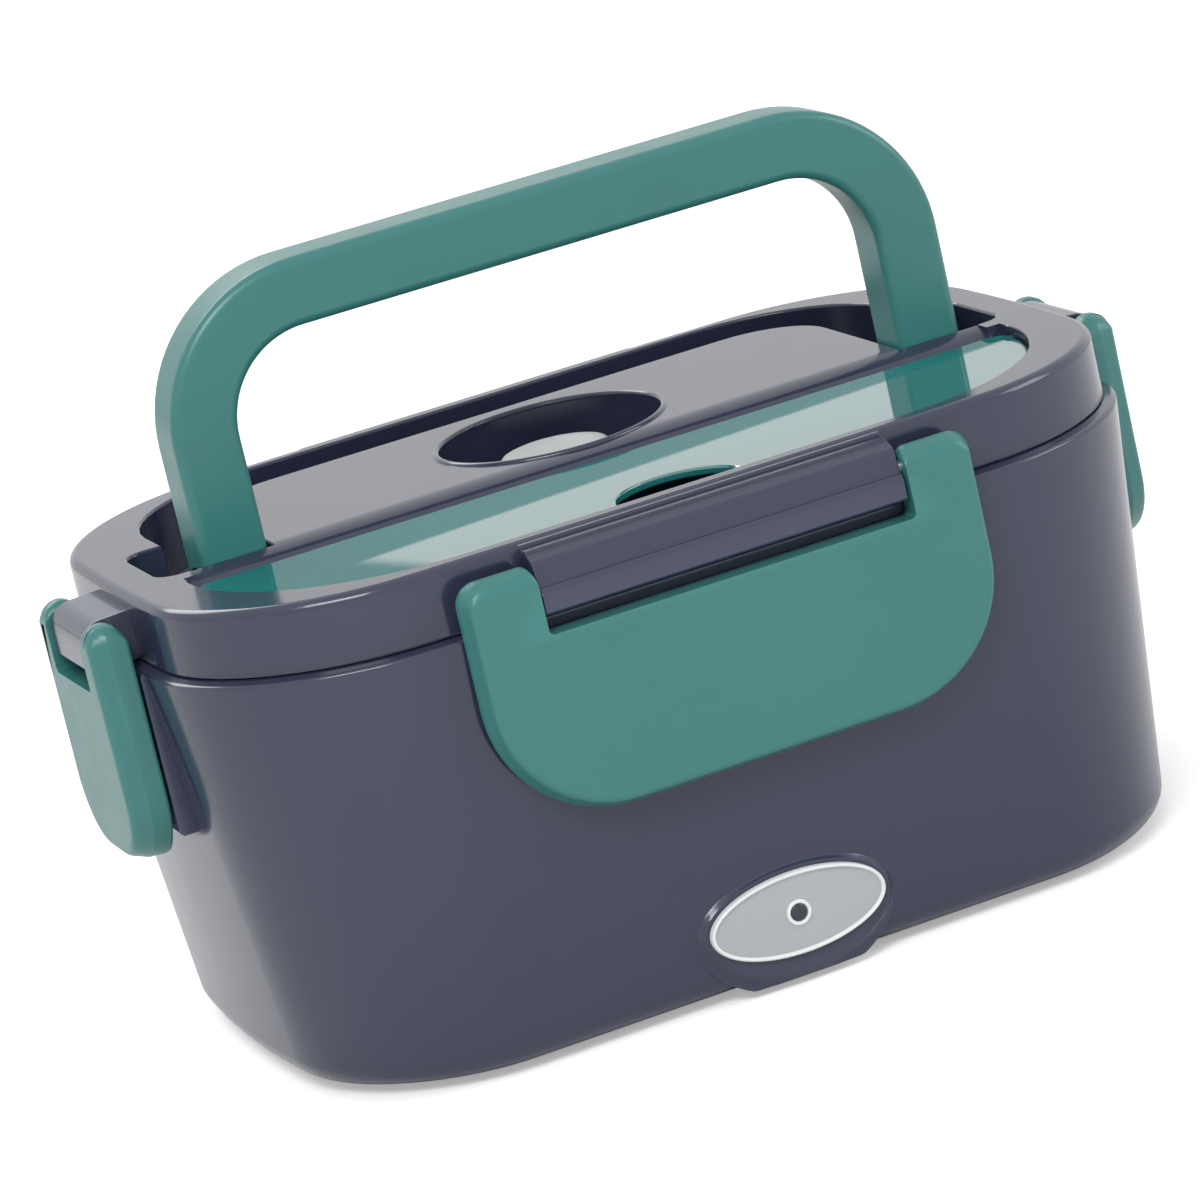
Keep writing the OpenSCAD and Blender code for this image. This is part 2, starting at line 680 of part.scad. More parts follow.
module food_container() color([0.82, 0.83, 0.84])
    loft(concat(
        container_skin(0, 0),
        [rim_ring(step_z - 0.4, body_inset - step_w), rim_ring(container_top_z - 1, body_inset - step_w),
         rim_ring(container_top_z - 1, rim_inset + 0.3), rim_ring(container_top_z - 2, rim_inset + 0.1),
         rim_ring(container_top_z - 1.9, rim_inset), rim_ring(container_top_z - 0.4, rim_inset),
         rim_ring(container_top_z, rim_inset + 0.5),
         rim_ring(container_top_z, body_inset - step_w + sheet - 0.4),
         rim_ring(container_top_z - 0.6, body_inset - step_w + sheet),
         rim_ring(step_z + 0.2, body_inset - step_w + sheet), container_ring(step_z, sheet)],
        reversed(container_skin(sheet, sheet))));

bowl_top_z = container_top_z - 0.6;
bowl_z = bowl_top_z - bowl_h;
bowl_inset = body_inset + sheet + gap + 0.4;
bowl_grip = 2;                                       // lip along the bowl's flat wall

// The bowl's outside or inside: the container's end, closed by a flat wall
module bowl_form(x, inset, z0, z1) intersection() {
    in = bowl_inset - body_inset + inset;
    loft(concat([for (e = edge_steps(6, 3)) container_ring(z0 + e[1], in + e[0])],
                [container_ring(z1, in)]));
    translate([x, -body_d, 0]) cube([body_l, 2 * body_d, lid_z]);
}

module side_bowl() color([0.86, 0.88, 0.88]) difference() {
    union() {
        bowl_form(bowl_x, 0, bowl_z, bowl_top_z);
        intersection() {
            loft([rim_ring(step_z + 0.3, body_inset - step_w + sheet + gap),
                  rim_ring(bowl_top_z, body_inset - step_w + sheet + gap)]);
            translate([bowl_x - bowl_grip, -body_d, 0]) cube([body_l, 2 * body_d, lid_z]);
        }
    }
    bowl_form(bowl_x + bowl_wall, bowl_wall, bowl_z + bowl_wall, bowl_top_z + 1);
}

// --- lid ------------------------------------------------------------------

lid_a = body_l / 2 - skirt_inset;                    // half length of the lid's skirt
lid_b = body_d / 2 - skirt_inset - skirt_side_in;    // half depth of the lid's skirt
leg_a = handle_l / 2;                                // outer face of a handle leg
reach = handle_z - pivot_z;                          // pivot to the top of the handle
stub_a = leg_a + 8.4;                                // outer end of a handle stub
pocket_a = stub_a + 1.6;                             // outer wall of a pivot pocket
pin_front_y = body_d / 2 + pin_out;                  // front and rear latch pins
pin_end_x = body_l / 2 + end_pin_out;                // end latch pins
barrel_a = tray_a - 2.6;                             // half length of the hinge barrel
barrel_y = tray_back + barrel_r;                     // its axis, ahead of the middle
glass_top_z = lid_z - tray_sink;                     // top of the cutlery cover
glass_z = glass_top_z - glass_t;                     // and its underside
barrel_z = glass_top_z - barrel_r;                   // the barrel's axis
tray_lap = 3;                                        // width of the ledge under the cover
cover_pin_r = 0.8;                                   // radius of the cover's hinge pins
cover_pin_in = 7;                                    // depth of their holes in the barrel
handle_pin_in = 9;                                   // depth of a handle pin's hole in a leg
pin_short = 0.4;                                     // a pin stops this far short of its hole's end
plug_seat_z = plug_z - 3;                            // underside of the vent plug's cap
channel_front = pivot_y + grip_t / 2 + gap;          // front wall of the handle's channel
fold_gap = 0.8;                                      // room round the folded handle
deep = 30;                                           // taller than any cut in the lid

module lid_shell() color(slate) difference() {
    union() {
        difference() {
            union() {
                lid_cup();
                lid_pockets();
            }
            translate([0, 0, tray_z]) linear_extrude(deep)
                polygon(tray_points(tray_lap, barrel_y + barrel_r + 1));
            translate([0, 0, glass_z - 0.1]) linear_extrude(deep)
                polygon(tray_points(-gap, tray_back - 0.4));
            hinge_groove();
            roll_cut();
        }
        vent_bead();
        for (s = [-1, 1]) translate([0, -pivot_y, pivot_z])
            rod_x(s > 0 ? pocket_a : -pocket_a - 3.6, s > 0 ? pocket_a + 3.6 : -pocket_a, 5);
        for (s = [0, 180]) rotate(s) {
            translate([0, -pin_front_y, latch_pin_z])
                latch_block(ear_gap - gap, pin_front_y - lid_b, lid_z - latch_pin_z - 0.5, block_ribs);
            rotate(90) translate([0, -pin_end_x, latch_pin_z])
                latch_block(end_ear_gap - gap, pin_end_x - lid_a, 4.6, block_slope);
        }
    }
    translate([0, 0, channel_z]) linear_extrude(deep) channel_shape(0);
    translate([0, vent_y, vent_floor_z]) difference() {
        cylinder(h = deep, r = vent_r);
        translate([0, 0, -1]) cylinder(h = plug_seat_z - vent_floor_z + 1, r = stem_r + 2);
    }
    translate([0, vent_y, panel_z]) cylinder(h = deep, r = stem_r + 0.1);
    translate([0, -pivot_y, pivot_z]) rod_x(-pocket_a - 3.2, pocket_a + 3.2, handle_pin_r);
    for (s = [0, 180]) rotate(s) {
        translate([0, -pin_front_y, latch_pin_z]) rod_x(-ear_gap, ear_gap, latch_pin_r);
        rotate(90) translate([0, -pin_end_x, latch_pin_z]) rod_x(-end_ear_gap, end_ear_gap, latch_pin_r);
    }
}

// The walls that hang from the lid's top round its hollows, before these are cut
module lid_pockets() {
    top = ceiling_z + 0.3;
    beam_z = barrel_z - barrel_r - 2;
    translate([0, 0, channel_z - pocket_wall]) linear_extrude(top - channel_z + pocket_wall)
        channel_shape(pocket_wall);
    translate([0, 0, tray_z - pocket_wall]) linear_extrude(top - tray_z + pocket_wall)
        polygon(tray_points(tray_lap - pocket_wall, barrel_y + barrel_r + 1 - pocket_wall));
    translate([0, 0, glass_z - pocket_wall]) linear_extrude(top - glass_z + pocket_wall)
        polygon(tray_points(-gap - pocket_wall, tray_back - 2));
    translate([-tray_a - 5, -barrel_y - barrel_r - 2, beam_z])
        cube([2 * (tray_a + 5), barrel_y + barrel_r - roll_y + 4, top - beam_z]);
    translate([0, vent_y, vent_floor_z - pocket_wall])
        cylinder(h = top - vent_floor_z + pocket_wall, r = vent_r + pocket_wall);
    translate([0, vent_y, panel_top_z]) cylinder(h = vent_floor_z - panel_top_z, r = stem_r + 2);
}

// Where the cover's barrel turns, with a pocket at each end and the holes for its pins
module hinge_groove() {
    end_w = tray_a + gap - barrel_a;
    translate([0, -barrel_y, barrel_z]) {
        rod_x(-barrel_a - gap, barrel_a + gap, barrel_r + 0.4);
        rod_x(-barrel_a - 4.5, barrel_a + 4.5, cover_pin_r);
        translate([-barrel_a - gap, -barrel_r - 0.4, 0])
            cube([2 * (barrel_a + gap), 2 * barrel_r + 0.8, deep]);
    }
    for (s = [-1, 1]) translate([s * (barrel_a + end_w / 2), -barrel_y, barrel_z + deep / 2])
        cube([end_w, 2 * barrel_r + 1.4, deep + 2 * barrel_r + 1], center = true);
}

// What is cut away over the convex roll between the flat panel and the cover
module roll_cut() {
    w = tray_back - 0.5 - roll_y;
    n = 8;
    translate([-barrel_a, 0, 0]) rotate([90, 0, 90]) linear_extrude(2 * barrel_a) polygon(concat(
        [for (i = [0 : n]) [-roll_y - w * sin(90 * i / n), lid_z - roll_drop * (1 - cos(90 * i / n))]],
        [[-roll_y - w - 1, lid_z - roll_drop], [-roll_y - w - 1, lid_z + 2], [-roll_y, lid_z + 2]]));
}

// The raised line round the vent recess
module vent_bead() translate([0, vent_y, lid_z]) rotate_extrude()
    translate([vent_r + 0.7, -0.2]) circle(0.8);

// Top and skirt in one skin: down the inside of the skirt and up the outside
module lid_cup() {
    inner = skirt_inset + skirt_t;
    loft(concat(
        [lid_ring(ceiling_z, inner + 2.4), lid_ring(ceiling_z - 1.6, inner + 0.6),
         lid_ring(ceiling_z - 4, inner), lid_ring(skirt_z, inner),
         lid_ring(skirt_z, skirt_inset + 0.3), lid_ring(skirt_z + 0.3, skirt_inset)],
        [for (e = reversed(edge_steps(lid_edge_r, 5))) lid_ring(lid_z - e[1], skirt_inset + e[0])]));
}

// Plan of the channel that takes the folded handle, grown by an amount
module channel_shape(grow) {
    back = reach - pivot_y + fold_gap;
    side = leg_a + fold_gap;
    corner = handle_r + fold_gap;
    pocket_back = 20;
    difference() {
        union() {
            for (s = [-1, 1]) translate([s * (side - corner), back - corner]) circle(corner + grow);
            translate([corner - side, -channel_front - grow])
                square([2 * (side - corner), channel_front + back + 2 * grow]);
            translate([-side - grow, -channel_front - grow])
                square([2 * (side + grow), channel_front + grow + back - corner]);
            round_rect(-pocket_a - grow, -channel_front - grow, pocket_a + grow, pocket_back + grow, 5);
        }
        island_shape(grow);
    }
}

// Plan of the flat panel that the channel runs round
module island_shape(grow) {
    a = leg_a - grip_h - fold_gap - grow;
    b = reach - pivot_y - grip_h - fold_gap - grow;
    r = handle_r - grip_h - fold_gap - grow;
    ahead = 10;
    round_rect(-a, -channel_front, a, b, r);
    translate([-a, -channel_front - ahead]) square([2 * a, ahead + r + 1]);
}

// Plan of the cutlery tray: straight at the back, rounded at the front
function tray_points(inset, back) =
    let (a = tray_a - inset, f = tray_front - inset, r = tray_r - inset, n = 14, c = 4)
    concat(
        [for (i = [0 : 3]) [a - c + c * sin(30 * i), -back - c + c * cos(30 * i)]],
        [for (i = [1 : n]) [a - r + r * cos(90 * i / n), -(f - r) - r * sin(90 * i / n)]],
        [for (i = [n : -1 : 1]) [-(a - r) - r * cos(90 * i / n), -(f - r) - r * sin(90 * i / n)]],
        [for (i = [3 : -1 : 0]) [-(a - c) - c * sin(30 * i), -back - c + c * cos(30 * i)]]);

block_out = 3.4;                                     // how far a latch block stands beyond its pin

// The steps down a long latch block, as [behind the pin, above the pin] from the lid's top outwards
block_ribs = [for (p = [[4.6, 7.4], [1.7, 6.5], [-0.8, 4.8], [-2.9, -0.6]]) each [p, p + [-0.1, -0.7]]];

// The smooth slope down an end latch block, from the lid's wall outwards
block_slope = [[1.4, 4.2], [-0.6, 3.7], [-2.2, 2.5], [-3.2, 0.6]];

// The block between a latch's ears, drawn with its pin at the origin and the lid behind it
module latch_block(half, lid_gap, top, slope) {
    back = lid_gap + skirt_side_in + 1;
    low = shoulder_z + 0.5 - latch_pin_z;
    translate([-half, 0, 0]) rotate([90, 0, 90]) linear_extrude(2 * half) polygon(concat(
        [[back, low], [back, top - 1], [back + 0.4, top]], slope,
        [[-block_out, -2], [-block_out, low + 0.5], [-block_out + 0.5, low]]));
}

plug_inset = mouth_inset + 0.7;                      // the inner panel's upstand, inside the tub's mouth

module lid_inner_panel() color([0.75, 0.77, 0.8]) {
    w = 1.4;
    rib = plug_inset + seal_w + 1.4;
    difference() {
        loft([rim_ring(panel_z, rib + w), rim_ring(panel_z - seal_h + 0.4, rib + w),
              rim_ring(panel_z - seal_h + 0.4, rib), rim_ring(panel_z, rib),
              rim_ring(panel_z, plug_inset + 0.4), rim_ring(panel_z + 0.4, plug_inset),
              rim_ring(skirt_z - 0.1, plug_inset), rim_ring(skirt_z - 0.1, plug_inset + w),
              rim_ring(panel_top_z, plug_inset + w)]);
        translate([0, vent_y, panel_z - 1]) cylinder(h = 5, r = stem_r + 1);
    }
}

module lid_seal() color([0.9, 0.9, 0.88]) {
    o = plug_inset + 0.6;
    band([rim_ring(panel_z, o + seal_w - 0.3), rim_ring(seal_z, o + seal_w - 0.3),
          rim_ring(seal_z, o + 1), rim_ring(seal_z + 1, o), rim_ring(panel_z, o)]);
}

module vent_plug() color([0.93, 0.93, 0.92]) translate([0, vent_y, 0]) rotate_extrude() polygon([
    [0, panel_z - 0.6], [stem_r - 0.6, panel_z - 0.6], [stem_r, panel_z], [stem_r, plug_seat_z + 0.1],
    [plug_r - 1, plug_seat_z + 0.1], [plug_r, plug_seat_z + 0.9], [plug_r, plug_z - 1.2],
    [plug_r - 0.4, plug_z - 0.5], [plug_r - 1.3, plug_z - 0.1], [plug_r - 3, plug_z], [0, plug_z]]);

module cutlery_cover() color([0.2, 0.6, 0.5, 0.6]) difference() {
    union() {
        translate([0, 0, glass_z]) linear_extrude(glass_t) difference() {
            polygon(tray_points(0, barrel_y));
            translate([0, -tray_front + notch_d - notch_a]) circle(notch_a);
            translate([-notch_a, -tray_front - 1]) square([2 * notch_a, notch_d - notch_a + 1]);
        }
        translate([0, -barrel_y, barrel_z]) rod_x(-barrel_a, barrel_a, barrel_r);
    }
    for (s = [-1, 1]) translate([0, -barrel_y, barrel_z])
        rod_x(s > 0 ? barrel_a - cover_pin_in : -barrel_a - 4,
              s > 0 ? barrel_a + 4 : -barrel_a + cover_pin_in, cover_pin_r + run);
}

module cover_hinge_pins() color("silver") {
    tip = barrel_a - cover_pin_in + pin_short;
    for (s = [-1, 1]) translate([0, -barrel_y, barrel_z])
        rod_x(s > 0 ? tip : -barrel_a - 4.4, s > 0 ? barrel_a + 4.4 : -tip, cover_pin_r);
}

// --- cutlery --------------------------------------------------------------

spoon_y = -40.5;                                     // where the spoon lies in the tray
fork_y = -28.6;                                      // and the fork behind it
cutlery_t = 1.2;                                     // sheet of the spoon and the fork
stem_w = 6;                                          // width of their stems

module spoon() color([0.85, 0.85, 0.86]) translate([0, spoon_y, tray_z + 0.3]) {
    scoop_x = -61;
    scoop_r = 14;
    curve_r = 30;
    stem_z = 2.2;
    stem_start = scoop_x + scoop_r - 2.5;
    stem_end = stem_start + 126;
    end_w = 9;
    translate([scoop_x, 0, curve_r]) intersection() {
        difference() {
            sphere(curve_r, $fn = 96);
            sphere(curve_r - cutlery_t, $fn = 96);
        }
        translate([0, 0, -curve_r - 1]) cylinder(h = 8, r = scoop_r);
    }
    translate([0, 0, stem_z]) linear_extrude(cutlery_t) {
        round_rect(stem_start, -stem_w / 2, stem_end, stem_w / 2, stem_w / 2 - 0.1);
        round_rect(stem_end - 40, -end_w / 2, stem_end + 4, end_w / 2, end_w / 2 - 0.1);
    }
}

module fork() color([0.85, 0.85, 0.86]) translate([0, fork_y, tray_z + 0.3]) {
    head_x = 46;
    head_l = 18;
    head_w = 16;
    tine_pitch = 4.4;
    tine_w = 2.8;
    tine_l = 18;
    end_w = 8;
    linear_extrude(cutlery_t) {
        round_rect(head_x - 90, -end_w / 2, head_x - 50, end_w / 2, end_w / 2 - 0.1);
        round_rect(head_x - 76, -stem_w / 2, head_x + 10, stem_w / 2, stem_w / 2 - 0.1);
        round_rect(head_x, -head_w / 2, head_x + head_l, head_w / 2, 5);
        for (i = [-1.5 : 1.5])
            round_rect(head_x + 10, i * tine_pitch - tine_w / 2,
                       head_x + head_l + tine_l, i * tine_pitch + tine_w / 2, tine_w / 2 - 0.1);
    }
}

// --- handle ---------------------------------------------------------------

// The grip's cross-section, with rounded edges
module grip_section() round_rect(-grip_h / 2, -grip_t / 2, grip_h / 2, grip_t / 2, grip_edge_r);

module handle() color(teal) {
    mid_r = handle_r - grip_h / 2;                   // bend radius along the middle of the grip
    bend_z = handle_z - handle_r;
    stub_r = 5.6;
    translate([0, -pivot_y, 0]) difference() {
        union() {
            translate([-(leg_a - handle_r), 0, handle_z - grip_h / 2]) rotate([0, 90, 0])
                linear_extrude(2 * (leg_a - handle_r)) grip_section();
            for (s = [0, 1]) mirror([s, 0, 0]) {
                translate([leg_a - handle_r, 0, bend_z]) rotate([90, 0, 0]) rotate_extrude(angle = 90)
                    translate([mid_r, 0]) grip_section();
                translate([leg_a - grip_h / 2, 0, pivot_z]) linear_extrude(bend_z - pivot_z) grip_section();
                translate([0, 0, pivot_z]) {
                    rod_x(leg_a - grip_h, leg_a, grip_t / 2);
                    rod_x(leg_a - 1, stub_a, stub_r);
                }
            }
        }
        for (s = [-1, 1]) translate([0, 0, pivot_z])
            rod_x(s > 0 ? leg_a - handle_pin_in : -stub_a - 1,
                  s > 0 ? stub_a + 1 : -leg_a + handle_pin_in, handle_pin_r + run);
    }
}

module handle_pins() color("silver") {
    tip = leg_a - handle_pin_in + pin_short;
    for (s = [-1, 1]) translate([0, -pivot_y, pivot_z])
        rod_x(s > 0 ? tip : -pocket_a - 3, s > 0 ? pocket_a + 3 : -tip, handle_pin_r);
}

// --- latches --------------------------------------------------------------

// Outline of a latch plate, with its pin at the origin
function latch_points(half, drop, r, inset) =
    let (a = half - inset, low = inset - drop, c = r - inset, n = 10)
    concat([[a, 0], [a, low + c]],
           [for (i = [1 : n]) [a - c + c * cos(90 * i / n), low + c - c * sin(90 * i / n)]],
           [for (i = [n : -1 : 1]) [-(a - c) - c * cos(90 * i / n), low + c - c * sin(90 * i / n)]],
           [[-a, low + c], [-a, 0]]);

// Rings run from the back of the latch to its face, which looks along -Y
function latch_ring(half, drop, r, inset, out) =
    [for (p = latch_points(half, drop, r, inset)) [-p[0], -out, p[1]]];

// half: half width; slot: half gap between the ears; back: how far the sides reach behind the pin;
// ridge: how far the catch ridge stays behind the pin
module latch(half, drop, slot, r, back, ridge) {
    notch_low = latch_pin_z - rim_z + 3;             // gap between the ears reaches this far below the pin
    bead_top = latch_pin_z - catch_z + bead_gap_z;
    inner = latch_face - latch_wall;
    difference() {
        union() {
            loft([latch_ring(half, drop, r, 0.5, -back), latch_ring(half, drop, r, 0, -back + 0.5),
                  latch_ring(half, drop, r, latch_draft - 1.1, latch_face - 1.5),
                  latch_ring(half, drop, r, latch_draft - 0.5, latch_face - 0.5),
                  latch_ring(half, drop, r, latch_draft + 0.6, latch_face)]);
            rod_x(-half + latch_draft, half - latch_draft, latch_face);
        }
        latch_hollow(half, drop, r, back, inner, notch_low);
        translate([-slot, -20, -notch_low]) cube([2 * slot, 40, 40]);
        rod_x(-half + latch_draft + 2.5, half - latch_draft - 2.5, latch_pin_r + run);
    }
    translate([-(slot - 5), 0, -bead_top]) rotate([90, 0, 90]) linear_extrude(2 * (slot - 5))
        polygon([[ridge - snap_gap, 0], [ridge - snap_gap, -1.6],
                 [-inner + 0.4, -3.4], [-inner - 0.3, -3.4], [-inner - 0.3, 0]]);
}

// The space behind the face, below the ears
module latch_hollow(half, drop, r, back, inner, notch_low) {
    side = latch_wall + latch_draft;
    intersection() {
        loft([latch_ring(half, drop, r, side - 1.4, -back - 1), latch_ring(half, drop, r, side, inner)]);
        translate([-half, -20, -80]) cube([2 * half, 40, 80 - notch_low - 2.4]);
    }
}

// Places a latch at one side of the box: 0 front, 90 right, 180 rear, 270 left
module at_side(angle, out) rotate(angle) translate([0, -out, latch_pin_z]) children();

module long_latch()
    latch(latch_a, latch_drop, ear_gap, latch_r, pin_out - 0.3, pin_front_y - catch_wall_y - catch_out);
module end_latch()
    latch(end_latch_a, end_latch_drop, end_ear_gap, end_latch_r, pin_end_x - pad_x - 0.6,
          pin_end_x - pad_x - catch_out);

module latch_front() color(teal) at_side(0, pin_front_y) long_latch();
module latch_rear() color(teal) at_side(180, pin_front_y) long_latch();
module latch_right() color(teal) at_side(90, pin_end_x) end_latch();
module latch_left() color(teal) at_side(270, pin_end_x) end_latch();

module latch_pins() color("silver") {
    side_a = latch_a - latch_draft - 2.9;
    end_a = end_latch_a - latch_draft - 2.9;
    for (a = [0, 180]) at_side(a, pin_front_y) rod_x(-side_a, side_a, latch_pin_r);
    for (a = [90, 270]) at_side(a, pin_end_x) rod_x(-end_a, end_a, latch_pin_r);
}

outer_shell();
bottom_cover();
bottom_screws();
rubber_feet();
heating_plate();
ptc_heater();
heater_clamp();
heater_screws();
thermostat();
thermal_fuse();
power_inlet();
inlet_pins();
wiring();
indicator_plate();
indicator_bezel();
led_lens();
led_board();
food_container();
side_bowl();
lid_shell();
lid_inner_panel();
lid_seal();
vent_plug();
cutlery_cover();
cover_hinge_pins();
spoon();
fork();
handle();
handle_pins();
latch_front();
latch_rear();
latch_left();
latch_right();
latch_pins();
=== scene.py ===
import math

import bmesh
import bpy
from mathutils import Matrix, Vector
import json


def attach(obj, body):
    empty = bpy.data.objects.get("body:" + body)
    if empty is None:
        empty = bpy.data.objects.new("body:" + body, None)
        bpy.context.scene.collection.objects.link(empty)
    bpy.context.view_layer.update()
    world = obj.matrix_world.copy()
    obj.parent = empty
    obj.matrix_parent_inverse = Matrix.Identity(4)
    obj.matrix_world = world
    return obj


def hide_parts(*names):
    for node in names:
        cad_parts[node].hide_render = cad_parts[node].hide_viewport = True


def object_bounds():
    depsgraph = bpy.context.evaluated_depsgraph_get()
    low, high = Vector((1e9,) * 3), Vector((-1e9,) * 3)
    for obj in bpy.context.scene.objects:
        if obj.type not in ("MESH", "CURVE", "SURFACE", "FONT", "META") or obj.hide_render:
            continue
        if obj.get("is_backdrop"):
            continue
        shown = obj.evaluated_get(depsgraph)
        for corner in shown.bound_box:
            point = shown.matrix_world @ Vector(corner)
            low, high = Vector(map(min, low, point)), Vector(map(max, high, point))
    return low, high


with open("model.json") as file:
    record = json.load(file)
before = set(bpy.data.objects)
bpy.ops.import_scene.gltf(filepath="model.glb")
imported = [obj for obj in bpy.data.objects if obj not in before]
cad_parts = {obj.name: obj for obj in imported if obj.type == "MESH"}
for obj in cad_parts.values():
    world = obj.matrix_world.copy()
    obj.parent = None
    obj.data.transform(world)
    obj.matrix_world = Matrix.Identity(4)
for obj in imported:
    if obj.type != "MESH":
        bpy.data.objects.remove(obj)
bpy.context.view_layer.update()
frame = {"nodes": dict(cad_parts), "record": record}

# --- Studio ---------------------------------------------------------------
# A pale floor, three soft lamps and a long lens that looks down a little on
# the front left corner, with the picture turned so that the box leans.

scene = bpy.context.scene
scene.view_settings.view_transform = "Standard"

lens = bpy.data.cameras.new("camera")
lens.sensor_width = 36
lens.lens = 171.2
lens.clip_start = 0.05
camera = bpy.data.objects.new("camera", lens)
across = Vector((0.90685, -0.36030, -0.21869)).normalized()
ahead = Vector((0.30404, 0.91857, -0.25258)).normalized()
upward = across.cross(ahead)
turn = Matrix((across, upward, -ahead)).transposed().to_4x4()
camera.matrix_world = Matrix.Translation((-0.3827, -1.1468, 0.3892)) @ turn
scene.collection.objects.link(camera)
scene.camera = camera


def soft_lamp(name, place, aim, width, height, watts, tint=(1, 1, 1)):
    light = bpy.data.lights.new(name, "AREA")
    light.shape = "RECTANGLE"
    light.size, light.size_y = width, height
    light.energy = watts
    light.color = tint
    lamp = bpy.data.objects.new(name, light)
    lamp.location = place
    lamp.rotation_euler = (Vector(aim) - Vector(place)).to_track_quat("-Z", "Y").to_euler()
    scene.collection.objects.link(lamp)


soft_lamp("key_lamp", (-0.7, -1.1, 1.3), (0, 0, 0.06), 0.9, 0.6, 16)
soft_lamp("side_lamp", (1.4, -0.7, 0.8), (0, 0, 0.06), 0.8, 0.8, 7)
soft_lamp("back_lamp", (-0.3, 1.3, 1.2), (0, 0, 0.1), 1.2, 0.6, 9)


def pale_backdrop(tree, light_level, light_colour):
    """White to the lens and to mirrors, and a plain light to everything else."""
    nodes, links = tree.nodes, tree.links
    path = nodes.new("ShaderNodeLightPath")
    seen = nodes.new("ShaderNodeMath")
    seen.operation = "MAXIMUM"
    seen_too = nodes.new("ShaderNodeMath")
    seen_too.operation = "MAXIMUM"
    links.new(path.outputs["Is Camera Ray"], seen.inputs[0])
    links.new(path.outputs["Is Glossy Ray"], seen.inputs[1])
    links.new(seen.outputs[0], seen_too.inputs[0])
    links.new(path.outputs["Is Transmission Ray"], seen_too.inputs[1])
    plain = nodes.new("ShaderNodeBackground")
    plain.inputs["Color"].default_value = (*light_colour, 1)
    plain.inputs["Strength"].default_value = light_level
    white = nodes.new("ShaderNodeBackground")
    white.inputs["Color"].default_value = (1, 1, 1, 1)
    either = nodes.new("ShaderNodeMixShader")
    links.new(seen_too.outputs[0], either.inputs[0])
    links.new(plain.outputs[0], either.inputs[1])
    links.new(white.outputs[0], either.inputs[2])
    return either


world = bpy.data.worlds.new("studio")
world.use_nodes = True
world.node_tree.nodes.clear()
sky = pale_backdrop(world.node_tree, 0.55, (1, 1, 1))
sky_out = world.node_tree.nodes.new("ShaderNodeOutputWorld")
world.node_tree.links.new(sky.outputs[0], sky_out.inputs["Surface"])
scene.world = world

bm = bmesh.new()
bmesh.ops.create_grid(bm, x_segments=1, y_segments=1, size=4)
floor_mesh = bpy.data.meshes.new("floor")
bm.to_mesh(floor_mesh)
bm.free()
floor = bpy.data.objects.new("floor", floor_mesh)
scene.collection.objects.link(floor)
paper = bpy.data.materials.new("white paper")
paper.use_nodes = True
sheet = paper.node_tree.nodes["Principled BSDF"]
sheet.inputs["Base Color"].default_value = (0.93, 0.93, 0.93, 1)
sheet.inputs["Roughness"].default_value = 0.9
paper_path = paper.node_tree.nodes.new("ShaderNodeLightPath")
paper_glow = paper.node_tree.nodes.new("ShaderNodeMath")
paper_glow.operation = "MULTIPLY"
paper_glow.inputs[1].default_value = 0.35
paper.node_tree.links.new(paper_path.outputs["Is Camera Ray"], paper_glow.inputs[0])
paper.node_tree.links.new(paper_glow.outputs[0], sheet.inputs["Emission Strength"])
sheet.inputs["Emission Color"].default_value = (1, 1, 1, 1)
floor.data.materials.append(paper)
floor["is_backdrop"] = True

# --- Outer shell ----------------------------------------------------------
# The tub: one moulding in dark slate plastic, its wall leaning out to a
# stepped rim, with a window in its inner floor for the heating plate.

tub_low, tub_rim = 1.8, 95.0
tub_wall = 2.6
PLAN = (100.0, 70.0, 40.0)  # half length, half depth and corner of the plan that is stretched


def mix(a, b, t):
    return a + (b - a) * t


def wall_at(z, inset):
    """The tub's outline at a height, drawn in: half sizes, corner and the bow of ends and sides."""
    t = (z - tub_low) / (tub_rim - tub_low)
    return (mix(104, 112, t) - inset, mix(69.9, 74.7, t) - inset,
            mix(38, 46, t) - inset, mix(7.4, 3.4, t), 1.9 * t)


def rim_at(inset):
    return wall_at(tub_rim, inset)


def stretched(p, z, outline):
    """Where a point of the plan lies on a rounded and bowed outline."""
    a0, b0, r0 = PLAN
    a, b, r, bow_end, bow_side = outline
    core = Vector((max(min(p.x, a0 - r0), r0 - a0), max(min(p.y, b0 - r0), r0 - b0)))
    x = core.x * (a - r) / (a0 - r0) + (p.x - core.x) * r / r0
    y = core.y * (b - r) / (b0 - r0) + (p.y - core.y) * r / r0
    return Vector((x * (1 - bow_end / a * (y / b) ** 2), y * (1 - bow_side / b * (x / a) ** 2), z))


def loose_verts(made):
    return [g for g in made["geom"] if isinstance(g, bmesh.types.BMVert)]


def plan_notes(bm):
    """Room for each point's place in plan, which points drawn out of it later carry along."""
    layers = bm.verts.layers.float_vector
    return layers.get("plan") or layers.new("plan")


def ring_between(verts):
    """The edges that join these vertices to each other."""
    inside = set(verts)
    return [e for e in {e for v in verts for e in v.link_edges} if set(e.verts) <= inside]


